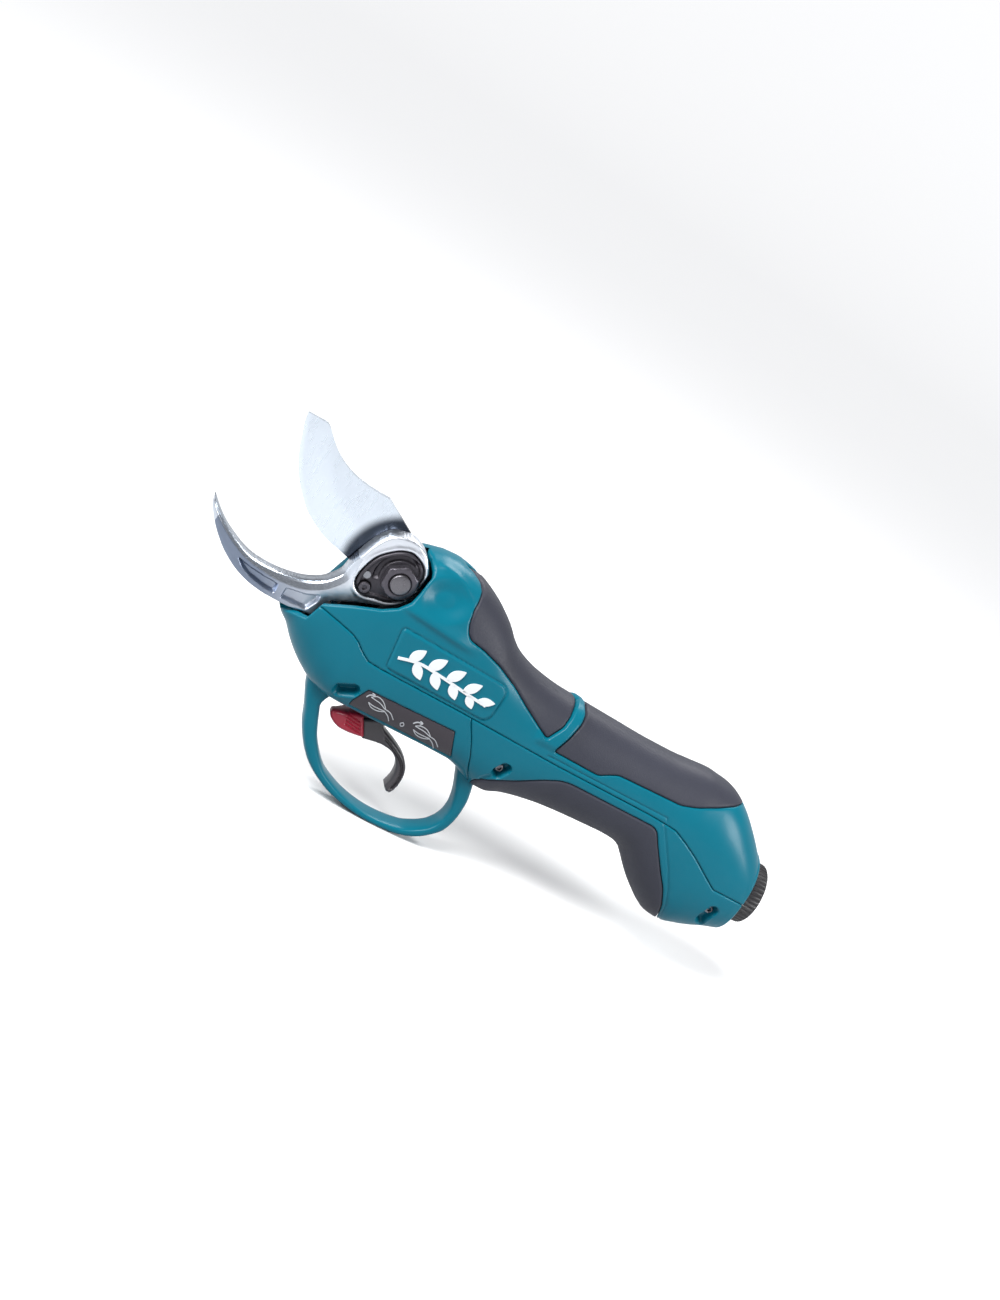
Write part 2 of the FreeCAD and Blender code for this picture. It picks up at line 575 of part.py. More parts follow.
def inset(points, distance):
    """Move a closed outline inwards, each point square to the line between its neighbours."""
    count = len(points)
    following = points[1:] + points[:1]
    area = sum(ax * bz - bx * az for (ax, az), (bx, bz) in zip(points, following))
    step = distance if area > 0 else -distance
    result = []
    for i, (x, z) in enumerate(points):
        before, after = points[i - 1], points[(i + 1) % count]
        tx, tz = after[0] - before[0], after[1] - before[1]
        length = math.hypot(tx, tz)
        result.append((x - tz / length * step, z + tx / length * step))
    return result


def nut_lock_plate(body):
    edge, rim = closed(inset(SEAT, 0.5)), closed(inset(SEAT, 1.7))
    profile = sketch(body, "plate_sketch", [edge], LOCK_HOLES, level="Params.nut_seat")
    pad(body, profile, "plate_pad", "Params.lock_plate_thick")
    profile = sketch(body, "rim_sketch", [edge, rim], level=10.05)
    pad(body, profile, "rim_pad", 0.85)
    nut_outline = polygon(hexagon(dim.nut_flats + 0.8, NUT_TURN))
    pocket(body, sketch(body, "nut_room_sketch", nut_outline, level=12), "nut_room", 6.0)
    profile = sketch(body, "head_room_sketch", circles=[LOCK_SCREW + (2.55,)], level=12)
    pocket(body, profile, "head_room", 1.88)
    circles = [LOCK_DOWEL + (1.66,), LOCK_SCREW + (1.66,)]
    profile = sketch(body, "dowel_room_sketch", circles=circles, level=12)
    pocket(body, profile, "dowel_room", 6.0)


def lock_plate_screw():
    x, z = LOCK_SCREW
    screw = cyl_y(1.6, 6.0, x, -10.15, z).fuse(cyl_y(2.4, 1.7, x, -11.85, z))
    return screw.cut(cyl_y(1.1, 1.2, x, -11.9, z))


def lock_dowel():
    dowel = part_cylinder("lock_dowel", 1.6, 6.6)
    x, z = LOCK_DOWEL
    place(dowel, "lock_dowel", V(x, -11.0, z), Rotation(V(0, 0, 1), V(0, 1, 0)))


def heel_screw():
    x, z = HEEL
    screw = cyl_y(2.5, 16.4, x, -6.6, z).fuse(cyl_y(3.8, 2.4, x, 9.8, z))
    return screw.cut(cyl_y(1.6, 1.6, x, 10.7, z))


# ---------------------------------------------------------------- head frame
# Outlines (x, z) of the plate's two layers and of the two blocks at its front
LEFT_LAYER = [(-28, -31.0), (-28, -37.6), (-15, -45), (0, -49.6), (44, -49.8), (52, -49.8),
              (52, -24), (44, -22), (24, -15.5), (15.2, -3.5), (13, 8), (8, 14), (0, 13.0),
              (-8, 9.8), (-12.8, 3), (-14.5, -6), (-17.5, -18), (-19.5, -31.0)]
RIGHT_LAYER = [(-15, -31), (-13, -44.5), (0, -49), (44, -49), (52, -48), (52, -24), (44, -22),
               (24, -15.5), (15.2, -3.5), (13, 8), (8, 14), (0, 13.0), (-8, 9.8), (-12.8, 3),
               (-14.5, -6), (-17, -18)]
HEEL_BLOCK = [(-28, -31.0), (-28, -37.6), (-19.5, -43.2), (-19.5, -31.0)]
ROD_BLOCK = [(-26, -37.7), (-26, -40.5), (-19.5, -49.0), (-16.3, -51.5), (-16.3, -44.2),
             (-19.5, -44.2), (-19.5, -37.7)]
LAYER_OVERLAP_Y = 9.8


def guide_rod():
    return cyl_x(dim.rod_radius, 61.2, -17.2, z=dim.rod_z)


def head_frame():
    frame = polygon_prism(LEFT_LAYER, dim.plate_in, LAYER_OVERLAP_Y)
    for shape in (polygon_prism(RIGHT_LAYER, 9.0, dim.plate_out),
                  cyl_y(12.4, 9.3, 0, 1.75, 0),
                  polygon_prism(HEEL_BLOCK, -1.65, LAYER_OVERLAP_Y),
                  polygon_prism(ROD_BLOCK, -3.4, 3.4),
                  cyl_x(dim.case_radius, 7.9, 44.0),
                  Part.makeBox(3.4, 7.0, 5.7, V(41.2, -3.5, -51.0))):
        frame = frame.fuse(shape)
    seat, start = dim.bearing_outer, dim.bearing_start
    frame = cut_all(frame, [
        cyl_y(dim.bolt_radius + dim.shaft_gap, 30, 0, 0, 0),
        cyl_x(seat, dim.bearing_width + 0.1, start),
        cyl_x(8.6, 12, 43),
        cyl_x(seat, 2, start + dim.bearing_width),
        cyl_y(2.55, 30, HEEL[0], -5, HEEL[1]),
        guide_rod()])
    return drop_slivers(frame.common(inner))


# ---------------------------------------------------------------- crosshead, nut, pin, screw
# Outlines from the drive pin's x
EARS = [[(PIN_X - 4.6, -39), (PIN_X - 5.6, -29), (PIN_X - 5.8, PIN_Z)],
        [(PIN_X - 5.8, PIN_Z), (PIN_X - 4.1, -19.9), (PIN_X, -18.2), (PIN_X + 4.1, -19.9),
         (PIN_X + 5.8, PIN_Z)],
        [(PIN_X + 5.8, PIN_Z), (PIN_X + 7.5, -29), (CROSSHEAD_END, -33)],
        [(CROSSHEAD_END, -33), (CROSSHEAD_END, -39)],
        [(CROSSHEAD_END, -39), (PIN_X - 4.6, -39)]]
BLOCK = [(PIN_X - 6, -31.5), (PIN_X - 6, -48.5), (PIN_X - 4, -50.2), (CROSSHEAD_END, -50.2),
         (CROSSHEAD_END, -31.5)]
FORK_SLOT = [(PIN_X - 12, -10), (PIN_X - 12, -31.6), (PIN_X + 12, -31.6), (PIN_X + 12, -10)]


def crosshead(body):
    profile = sketch(body, "ears_sketch", EARS, level="Params.ear_outer")
    pad(body, profile, "ears_pad", "Params.ear_outer * 2", reverse=True)
    profile = sketch(body, "block_sketch", polygon(BLOCK), level=7.2)
    pad(body, profile, "block_pad", 14.4, reverse=True)
    profile = sketch(body, "fork_slot_sketch", polygon(FORK_SLOT), level="Params.ear_inner")
    pocket(body, profile, "fork_slot", "Params.ear_inner * 2")
    profile = sketch(body, "pin_hole_sketch", circles=[(PIN_X, PIN_Z, dim.pin_radius)], level=8)
    pocket(body, profile, "pin_hole", 16)
    # holes for the screw and for the guide rod, cut towards +X
    circles = [(0, DRIVE_Z, 4.3), (0, dim.rod_z, dim.rod_radius + 0.05)]
    profile = sketch(body, "screw_hole_sketch", circles=circles, role="YZ_Plane", level=-25)
    pocket(body, profile, "screw_hole", 40, reverse=True)


def ball_nut():
    nut = cyl_x(dim.nut_body_radius, dim.nut_body_length, CROSSHEAD_END)
    nut = nut.fuse(Part.makeBox(20, 5.0, 4.0, V(PIN_X + 11, -2.5, DRIVE_Z - 9.2)))
    nut = nut.cut(cyl_x(dim.screw_radius + 0.05, 40, PIN_X))
    return nut.cut(cyl_x(dim.rod_radius + 0.1, 60, PIN_X, z=dim.rod_z))


def drive_pin():
    return cyl_y(dim.pin_radius, 2 * dim.ear_outer, PIN_X, -dim.ear_outer, PIN_Z)


def ball_screw():
    screw = cyl_x(dim.screw_radius, dim.screw_end - dim.screw_start, dim.screw_start)
    grooves = [torus_x(4.35, 0.75, -14.0 + 2.5 * k) for k in range(22)]
    return screw.cut(Part.makeCompound(grooves)).fuse(cyl_x(5.6, 1.2, 43.2))


BALL_CIRCLE = 7.6       # radius of the circle of the balls' centres
BALL_X = dim.bearing_start + dim.bearing_width / 2


def bearing_race(outer_radius, inner_radius):
    race = tube_x(outer_radius, inner_radius, dim.bearing_width, dim.bearing_start)
    return race.cut(torus_x(BALL_CIRCLE, 1.85, BALL_X))


def screw_bearing_outer():
    return bearing_race(dim.bearing_outer, 9.2)


def screw_bearing_inner():
    return bearing_race(6.1, dim.bearing_inner)


def screw_bearing_balls():
    angles = [k * math.pi / 4 for k in range(8)]
    return Part.makeCompound([
        Part.makeSphere(1.8, V(BALL_X, BALL_CIRCLE * math.cos(angle),
                               DRIVE_Z + BALL_CIRCLE * math.sin(angle))) for angle in angles])


# ---------------------------------------------------------------- planetary stage
PRESSURE_ANGLE = math.radians(25)
ADDENDUM, DEDENDUM = 0.75, 0.95     # in modules
BACKLASH = 0.08
FLANK_STEPS = 6
GEAR_START, GEAR_END = dim.gear_start, dim.gear_start + dim.gear_width
RING_SEAT = 14.25                   # outer radius of the ring gear
PLANETS = 3
CASE_SCREW_CIRCLE = 9.6


def involute(angle):
    return math.tan(angle) - angle


def tooth_outline(teeth, phase=0.0, internal=False):
    """Points (y, z) of an involute wheel; phase turns tooth 0 from the +Y axis."""
    module = dim.gear_module
    pitch = module * teeth / 2
    base = pitch * math.cos(PRESSURE_ANGLE)
    below, above = (ADDENDUM, DEDENDUM) if internal else (DEDENDUM, ADDENDUM)
    low, high = pitch - below * module, pitch + above * module
    half = math.pi / (2 * teeth) - BACKLASH / (2 * pitch)
    sign = -1 if internal else 1
    start = max(low, base * 1.0005)
    flank = []      # (radius, half angle of the tooth there)
    for k in range(FLANK_STEPS + 1):
        radius = start + (high - start) * k / FLANK_STEPS
        lean = involute(PRESSURE_ANGLE) - involute(math.acos(base / radius))
        flank.append((radius, half + sign * lean))
    if low < start:
        flank.insert(0, (low, flank[0][1]))
    if internal:
        flank.reverse()
    points = []
    for tooth in range(teeth):
        centre = phase + 2 * math.pi * tooth / teeth
        for radius, angle in flank + [(radius, -angle) for radius, angle in reversed(flank)]:
            points.append((radius * math.cos(centre - angle), radius * math.sin(centre - angle)))
    return points


def wheel(outline, x0, x1, centre_y=0, centre_z=DRIVE_Z):
    points = [V(x0, centre_y + y, centre_z + z) for y, z in outline]
    return Part.Face(Part.makePolygon(closed(points))).extrude(V(x1 - x0, 0, 0))


def planet_centre(index):
    angle = 2 * math.pi * index / PLANETS
    distance = dim.gear_module * (dim.sun_teeth + dim.planet_teeth) / 2
    return distance * math.cos(angle), DRIVE_Z + distance * math.sin(angle)


def sun_gear():
    sun = wheel(tooth_outline(int(dim.sun_teeth)), GEAR_START - 0.5, GEAR_END + 0.5)
    return sun.cut(cyl_x(dim.shaft_radius, 20, 50))


def planet_gear(index):
    y, z = planet_centre(index)
    teeth = int(dim.planet_teeth)
    # half a tooth on, so that a gap faces the sun
    outline = tooth_outline(teeth, 2 * math.pi * index / PLANETS + math.pi / teeth)
    gear = wheel(outline, GEAR_START, GEAR_END, y, z)
    return gear.cut(cyl_x(dim.planet_bore + 0.05, 20, 50, y, z))


def planet_carrier():
    carrier = cyl_x(12.0, 2.6, dim.screw_end)
    for index in range(PLANETS):
        y, z = planet_centre(index)
        carrier = carrier.fuse(cyl_x(dim.planet_bore, 10.4, 55.0, y, z))
        carrier = carrier.fuse(cyl_x(2.6, 0.9, 55.6, y, z))
    return carrier


def ring_gear():
    outline = tooth_outline(int(dim.ring_teeth), internal=True)
    blank = cyl_x(RING_SEAT, dim.gear_width + 1.0, GEAR_START - 0.5)
    return blank.cut(wheel(outline, GEAR_START - 2, GEAR_END + 2))


def four_around(radius, length, x):
    """Four cylinders on the case screws' circle."""
    angles = [math.pi / 4 + math.pi / 2 * k for k in range(4)]
    return [cyl_x(radius, length, x, CASE_SCREW_CIRCLE * math.cos(angle),
                  DRIVE_Z + CASE_SCREW_CIRCLE * math.sin(angle)) for angle in angles]


def gear_case():
    case = cyl_x(dim.case_radius, dim.case_end - dim.case_start, dim.case_start)
    return cut_all(case, [
        cyl_x(12.8, 14.0, dim.case_start - 0.1),
        cyl_x(RING_SEAT, 8.0, GEAR_START - 0.5),
        cyl_x(5.2, 30, 50),
        Part.makeCompound(four_around(1.0, 6.0, 65.0)),
        Part.makeCompound(four_around(1.8, 1.3, 65.35))])


def gear_case_screws():
    shanks, heads = four_around(1.0, 3.0, 66.6), four_around(1.8, 1.2, 65.4)
    return Part.makeCompound([shank.fuse(head) for shank, head in zip(shanks, heads)])


# ---------------------------------------------------------------- motor
MOTOR_START, MOTOR_END = dim.motor_start, dim.motor_end
CAN_INNER = dim.motor_radius - dim.motor_wall
CAN_FLOOR = 2.0
MOTOR_BEARING = 6.0                 # outer radius
SHAFT_HOLE = 3.2
CORE_START, CORE_LENGTH = 80, 30    # stator core and rotor magnets along X
POLES = 6


def motor_can():
    length = MOTOR_END - MOTOR_START
    return cut_all(cyl_x(dim.motor_radius, length, MOTOR_START), [
        cyl_x(CAN_INNER, length, MOTOR_START + CAN_FLOOR),
        cyl_x(SHAFT_HOLE, 10, MOTOR_START - 2),
        cyl_x(MOTOR_BEARING, 3.1, MOTOR_START + 0.8),
        Part.makeCompound(four_around(1.05, 6.0, 66.0))])


def at_poles(shape):
    return [turned(shape, 360 / POLES * k, DRIVE_Z) for k in range(POLES)]


def stator_core():
    bore = dim.stator_bore
    neck = Part.makeBox(CORE_LENGTH, 4.8, 2.6, V(CORE_START, 7.4, -1.3))
    shoe = tube_x(bore + 1.0, bore, CORE_LENGTH, CORE_START, z=0).common(
        Part.makeBox(CORE_LENGTH, 9, 6.4, V(CORE_START, 5, -3.2)))
    yoke = tube_x(CAN_INNER, 11.2, CORE_LENGTH, CORE_START)
    return yoke.multiFuse(at_poles(neck.fuse(shoe)))


def stator_windings():
    coil = Part.makeBox(35, 2.1, 6.2, V(CORE_START - 2.5, 8.45, -3.1))
    coil = coil.cut(Part.makeBox(CORE_LENGTH + 0.05, 3.0, 2.7, V(CORE_START, 8.3, -1.35)))
    return Part.makeCompound(at_poles(coil))


def rotor_shaft():
    return cyl_x(dim.shaft_radius, 64.0, 56.3)


def rotor_magnets():
    return tube_x(dim.rotor_radius, dim.shaft_radius, CORE_LENGTH, CORE_START)


def motor_end_cap():
    cap = tube_x(CAN_INNER, SHAFT_HOLE, 3.0, MOTOR_END - 3.0)
    return cap.cut(cyl_x(MOTOR_BEARING, 2.0, MOTOR_END - 3.0))


def motor_bearings():
    return Part.makeCompound([tube_x(MOTOR_BEARING, dim.shaft_radius + 0.05, 3.0, x)
                              for x in (MOTOR_START + 0.8, MOTOR_END - 4.0)])


# ---------------------------------------------------------------- trigger
LEVER = [
    [(27.2, -61.5), (26.9, -55.0)],
    [(26.9, -55.0), (28.2, -52.0), (31, -50.9), (33.8, -52.0), (35.1, -55.0)],
    [(35.1, -55.0), (35.6, -60), (37.6, -63.6), (42, -66.0), (45, -67.8), (48, -70.8),
     (50.5, -74.5), (52.2, -79), (52.7, -83.5), (52.0, -87.5), (50.6, -90.4)],
    [(50.6, -90.4), (48.2, -90.8), (47.0, -89.0)],
    [(47.0, -89.0), (48.0, -85.4), (48.2, -81.5), (47.1, -78.0), (44.8, -75.4), (41.5, -73.9),
     (35, -73.8), (29, -74.4), (27.2, -74.4)],
    *[[start, end] for start, end in (
        ((27.2, -74.4), (27.2, -71.8)), ((27.2, -71.8), (16.2, -71.8)),
        ((16.2, -71.8), (16.2, -67.2)), ((16.2, -67.2), (27.2, -67.2)),
        ((27.2, -67.2), (27.2, -61.5)))]]
TONGUE_SIDE = [(10, -64), (10, -78), (27.2, -78), (27.2, -64)]
SLIDER = [
    [(9.6, -70.5), (10.2, -67.2), (13.0, -64.6), (17.5, -63.8)],
    [(17.5, -63.8), (26.9, -64.0)],
    [(26.9, -64.0), (26.9, -74.9)],
    [(26.9, -74.9), (19, -74.9), (13.5, -74.2), (10.4, -72.6), (9.6, -70.5)]]
TONGUE_ROOM = [(12.9, -67.05), (12.9, -71.95), (28, -71.95), (28, -67.05)]
MAGNET = (29.0, -64.0)      # (x, z)
MAGNET_RADIUS, MAGNET_LENGTH = 1.5, 1.5


def trigger_lever(body):
    profile = sketch(body, "lever_sketch", LEVER, level="Params.trigger_half_width")
    pad(body, profile, "lever_pad", "Params.trigger_half_width * 2", reverse=True)
    circle = (dim.trigger_pin_x, dim.trigger_pin_z, dim.trigger_pin_radius + 0.05)
    pocket(body, sketch(body, "lever_hole_sketch", circles=[circle], level=8), "lever_hole", 16)
    for side, level in (("left", 6.0), ("right", -2.5)):
        profile = sketch(body, "tongue_%s_sketch" % side, polygon(TONGUE_SIDE), level=level)
        pocket(body, profile, "tongue_%s" % side, 3.5)
    profile = sketch(body, "magnet_seat_sketch", circles=[MAGNET + (MAGNET_RADIUS,)], level=4.0)
    pocket(body, profile, "magnet_seat", MAGNET_LENGTH)


def trigger_magnet():
    return cyl_y(MAGNET_RADIUS, MAGNET_LENGTH, MAGNET[0], -dim.trigger_half_width, MAGNET[1])


def trigger_pin():
    return cyl_y(dim.trigger_pin_radius, 18.2, dim.trigger_pin_x, -9.1, dim.trigger_pin_z)


def lock_slider(body):
    pad(body, sketch(body, "red_sketch", SLIDER, level=5.4), "red_pad", 10.8, reverse=True)
    profile = sketch(body, "tongue_room_sketch", polygon(TONGUE_ROOM), level=2.6)
    pocket(body, profile, "tongue_room", 5.2)
    # upright grooves in both flanks
    for k in range(4):
        x = 17.5 + 2.3 * k
        groove = polygon([(x, -65.2), (x + 0.9, -65.2), (x + 0.9, -73.6), (x, -73.6)])
        for side, tag, level in (("left", "", 6.0), ("right", "_r", -4.9)):
            profile = sketch(body, "rib_%d%s_sketch" % (k, tag), groove, level=level)
            pocket(body, profile, "rib_%s_%d" % (side, k), 1.1)


def trigger_spring():
    """Return spring: separate turns joined by a straight wire along their top."""
    turns = [torus_x(1.9, 0.35, 20.2 + 1.45 * k, z=-53.4) for k in range(5)]
    return turns[0].multiFuse(turns[1:] + [cyl_x(0.3, 6.5, 20.0, z=-51.5)])


# ---------------------------------------------------------------- boards and wiring
BOARD_TOP = -46.4
# Wires: radius, points (x, y, z)
TAIL_LEFT = (1.2, [(197.5, -4, -55.6), (193, -4.5, -55), (187, -6, -52), (182, -8, -50.0)])
TAIL_RIGHT = (1.2, [(197.5, 4, -55.6), (193, 4.5, -55), (187, 6, -52), (182, 8, -50.0)])
SENSOR_LEAD = (0.9, [(131, -9, -50.0), (124, -9, -51.0), (110, -8, -54.2), (88, -7.0, -57.6),
                     (76, -6.6, -57.4), (66, -5.2, -56.0), (55, -3.8, -54.6),
                     (50.8, -3.4, -52.9)])
MOTOR_RIGHT = (1.1, [(131, 3, -45.2), (126, 3, -43.0), (123.5, 4, -42.0), (120.8, 6, -42.0)])
MOTOR_LEFT = (1.1, [(131, -3, -45.2), (126, -3, -43.0), (123.5, -4, -42.0), (120.8, -6, -42.0)])


def sensor_board():
    board = Part.makeBox(11.0, 10.0, 1.2, V(38.6, -5.0, -53.6))
    return board.fuse(Part.makeBox(3.6, 4.0, 1.2, V(39.4, -2.0, -54.8)))


def control_board():
    board = Part.makeBox(58, 24, 1.6, V(130, -12.0, BOARD_TOP - 1.6))
    blocks = [Part.makeBox(6, 5, 4.0, V(x, y, BOARD_TOP)) for x in (134, 142, 150)
              for y in (-9, 4)]
    cans = [Part.makeCylinder(4.0, 12, V(160, y, BOARD_TOP)) for y in (-6, 5)]
    return board.multiFuse(blocks + cans + [
        Part.makeBox(10, 10, 1.4, V(168, -5, BOARD_TOP)),
        Part.makeBox(6, 12, 6, V(180, -6, BOARD_TOP))])


def wire_run(radius, points):
    path = segment_curve([V(*point) for point in points]).toShape()
    start = path.tangentAt(path.FirstParameter)
    section = Part.Wire([Part.makeCircle(radius, V(*points[0]), start)])
    return Part.Wire([path]).makePipeShell([section], True, True)


def wiring(rear):
    # the sensor lead is pressed flat where it passes under the screw tower
    return Part.makeCompound([
        wire_run(*TAIL_LEFT), wire_run(*TAIL_RIGHT), wire_run(*SENSOR_LEAD).cut(rear),
        wire_run(*MOTOR_RIGHT), wire_run(*MOTOR_LEFT)])


# ---------------------------------------------------------------- cord socket
CONTACTS = ((0, 3.6), (-3.3, -2.0), (3.3, -2.0))    # (y, z) from the socket's axis
SOCKET_START = 201.0
RIB_HEIGHT, RIB_WIDTH, RIB_COUNT = 0.9, 0.8, 40


def contact_cylinders(length, x):
    return [cyl_x(dim.contact_radius, length, x, y, dim.tail_z + z) for y, z in CONTACTS]


def cord_socket():
    mouth, depth, axis = dim.mouth_x, dim.socket_depth, dim.tail_z
    socket = cyl_x(dim.socket_radius, mouth - SOCKET_START, SOCKET_START, z=axis)
    return cut_all(socket, [
        cyl_x(dim.socket_bore, depth, mouth - depth, z=axis),
        cyl_x(7.4, 8.2, mouth - depth - 8.2, z=axis),
        Part.makeBox(20, 3.0, 2.0, V(mouth - 7.0, -1.5, axis + 8.6)),
        *contact_cylinders(8.0, 197.5)])


def contact_pins():
    return Part.makeCompound(contact_cylinders(11.6, 199.4))


def socket_seal():
    return tube_x(13.6, dim.socket_radius, 1.5, 211.0, z=dim.tail_z)


def coupling_ring():
    start, radius = dim.ring_start, dim.ring_radius
    ring = tube_x(radius - 0.2, dim.socket_radius + 0.05, dim.mouth_x - start, start,
                  z=dim.tail_z)
    rib = Part.makeBox(6.7, RIB_WIDTH, RIB_HEIGHT,
                       V(start + 0.6, -RIB_WIDTH / 2, radius - RIB_HEIGHT))
    return ring.multiFuse([turned(rib, 360 / RIB_COUNT * k, dim.tail_z)
                           for k in range(RIB_COUNT)])


# ---------------------------------------------------------------- build
def build_casing():
    """Add the casing's pieces; returns the lower shell behind the guard, both halves in one."""
    lower_grip = grip_band.common(prism(LOWER_GRIP, -40, 40)).common(lower_region)
    # kept clear of the guard ring's root
    lower_grip = lower_grip.cut(guard_region)
    label_plate = outer.cut(skin(dim.plate_depth, *SHALLOW_ENDS)).common(
        polygon_prism(LABEL_REGION, -40, 40))
    lower = lower_casing(lower_grip, label_plate)
    # the screw recesses also pass through the grip and the label plate
    lower_grip = lower_grip.cut(middle_cuts[0])
    label_plate = label_plate.cut(front_cuts[0])
    rear = lower_shell(lower, lower_grip)

    add_feature("upper_shell", drop_slivers(upper_shell()))
    for label, region in (("front_top_grip", front_grip_region),
                          ("rear_top_grip", rear_grip_region)):
        add_feature(label, drop_slivers(grip_band.common(region).common(upper_region)))
    for label, shape, smallest in (("guard_shell", guard_shell(lower, label_plate), 30),
                                   ("lower_shell", rear, 30),
                                   ("lower_grip", lower_grip, 30),
                                   ("label_plate", label_plate, 5)):
        add_feature(label + "_left", drop_slivers(shape.common(left_half), smallest))
        add_feature(label + "_right", drop_slivers(shape.common(right_half), smallest))
    return rear


rear_shell = build_casing()
for build in (counter_blade, moving_blade, pivot_nut, nut_lock_plate, crosshead, trigger_lever,
              lock_slider):
    new_body = doc.addObject("PartDesign::Body", build.__name__)
    build(new_body)
    place(new_body, build.__name__)
for build in (housing_screws, pivot_bolt, lock_plate_screw, heel_screw, head_frame, guide_rod,
              ball_nut, drive_pin, ball_screw, screw_bearing_outer, screw_bearing_inner,
              screw_bearing_balls, sun_gear, planet_carrier, ring_gear, gear_case,
              gear_case_screws, motor_can, stator_core, stator_windings, rotor_shaft,
              rotor_magnets, motor_end_cap, motor_bearings, trigger_magnet, trigger_pin,
              trigger_spring, sensor_board, control_board, cord_socket, contact_pins,
              socket_seal, coupling_ring):
    add_feature(build.__name__, build())
for number in range(PLANETS):
    add_feature("planet_gear_%d" % (number + 1), planet_gear(number))
add_feature("wiring", wiring(rear_shell))
pivot_bush()
lock_dowel()

# ---------------------------------------------------------------- check and write
doc.recompute()
problems = ["%s state %s" % (obj.Name, obj.State) for obj in doc.Objects
            if "Invalid" in obj.State or "Error" in obj.State]
problems += ["%s shape is null or invalid" % obj.Label for obj in pieces
             if obj.Shape.isNull() or not obj.Shape.isValid()]
if problems:
    raise RuntimeError("; ".join(problems))
for obj in pieces:
    obj.Shape.exportStep("parts/%s.step" % obj.Label)
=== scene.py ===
"""Powered pruning shears: casing skin, grips, finger guard, hook, blade, trigger and fittings.

Shapes are in millimetres about the blade pivot, whose axis runs along y, with z up. The hook
and blade point to -x (front), the coupling ring is at the +x end (tail), and the left side,
which faces the camera, is -y. Meshes are moved to the frame, in metres, where the axis of the
coupling ring is the x axis.
"""
import bmesh
import bpy
import json
import math
import numpy as np
from mathutils import Vector, Matrix

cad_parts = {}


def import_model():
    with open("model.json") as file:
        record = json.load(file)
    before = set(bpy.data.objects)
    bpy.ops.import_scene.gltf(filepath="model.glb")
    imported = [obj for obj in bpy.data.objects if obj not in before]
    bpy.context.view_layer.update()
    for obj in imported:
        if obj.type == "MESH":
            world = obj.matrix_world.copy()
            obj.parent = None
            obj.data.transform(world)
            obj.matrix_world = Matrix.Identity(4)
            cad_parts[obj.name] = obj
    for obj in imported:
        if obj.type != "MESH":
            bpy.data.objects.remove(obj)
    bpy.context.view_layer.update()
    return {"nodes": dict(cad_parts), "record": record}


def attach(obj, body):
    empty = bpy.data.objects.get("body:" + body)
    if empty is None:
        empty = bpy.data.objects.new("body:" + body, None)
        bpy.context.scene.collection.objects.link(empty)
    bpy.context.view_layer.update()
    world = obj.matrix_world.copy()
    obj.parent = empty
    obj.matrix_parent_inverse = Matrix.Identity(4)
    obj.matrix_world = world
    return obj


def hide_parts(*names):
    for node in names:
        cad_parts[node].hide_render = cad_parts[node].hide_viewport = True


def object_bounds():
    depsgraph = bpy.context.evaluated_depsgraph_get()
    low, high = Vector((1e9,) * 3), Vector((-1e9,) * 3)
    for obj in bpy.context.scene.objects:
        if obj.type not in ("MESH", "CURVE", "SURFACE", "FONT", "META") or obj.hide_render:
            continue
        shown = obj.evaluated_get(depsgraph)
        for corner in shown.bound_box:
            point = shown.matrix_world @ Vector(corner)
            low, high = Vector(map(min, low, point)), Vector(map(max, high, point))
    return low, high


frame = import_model()


ORIGIN = np.array([220.7, 0.0, -55.6])   # the frame's origin, seen from the pivot
MIRROR = np.array([1, -1, 1])            # left side to right side
SIDE_PLANE_Y = -20.0                     # plane on which the casing outlines are drawn
HOOK_FACE_Y = -10.7                      # left face of the hook


def world(points):
    return (np.asarray(points, float) - ORIGIN) / 1000.0


# ------------------------------------------------------------------ camera position
VIEW_AZIMUTH = math.radians(-19)
VIEW_ELEVATION = math.radians(17)
VIEW_SLOPE = math.radians(28)            # slope of the x axis in the view
VIEW_DISTANCE = 1100.0
AIM_POINT = np.array([0, -15.5, 0])
SHIFT_RIGHT, SHIFT_DOWN = 41.15702479, 26.48760331
LENS, SENSOR_WIDTH = 73.7169231, 36.0

view_back = np.array([math.sin(VIEW_AZIMUTH) * math.cos(VIEW_ELEVATION),
                      -math.cos(VIEW_AZIMUTH) * math.cos(VIEW_ELEVATION),
                      math.sin(VIEW_ELEVATION)])
level_right = np.array([math.cos(VIEW_AZIMUTH), math.sin(VIEW_AZIMUTH), 0.0])
level_up = np.cross(level_right, -view_back)
roll = math.atan2(level_up[0], level_right[0]) + VIEW_SLOPE
view_right = math.cos(roll) * level_right + math.sin(roll) * level_up
view_up = -math.sin(roll) * level_right + math.cos(roll) * level_up
camera_at = (AIM_POINT + VIEW_DISTANCE * view_back + SHIFT_RIGHT * view_right
             - SHIFT_DOWN * view_up)


def seen_on(points, plane_y):
    """Where the camera sees the points on the plane y = plane_y, as x, z."""
    share = (plane_y - camera_at[1]) / (points[..., 1] - camera_at[1])
    return np.stack([camera_at[k] + share * (points[..., k] - camera_at[k]) for k in (0, 2)], -1)


# ------------------------------------------------------------------ outlines and profiles
def path_distance(path, points, closed=False):
    """Distance from x, z points to a line of points, or to a closed outline."""
    path = np.asarray(path, float)
    ends = np.roll(path, -1, 0) if closed else path[1:]
    flat = points.reshape(-1, 2)
    nearest = np.full(len(flat), 1e9)
    for start, end in zip(path, ends):
        step = end - start
        along = np.clip(((flat - start) @ step) / (step @ step), 0, 1)
        offset = flat - start - along[:, None] * step
        nearest = np.minimum(nearest, (offset ** 2).sum(1))
    return np.sqrt(nearest).reshape(points.shape[:-1])


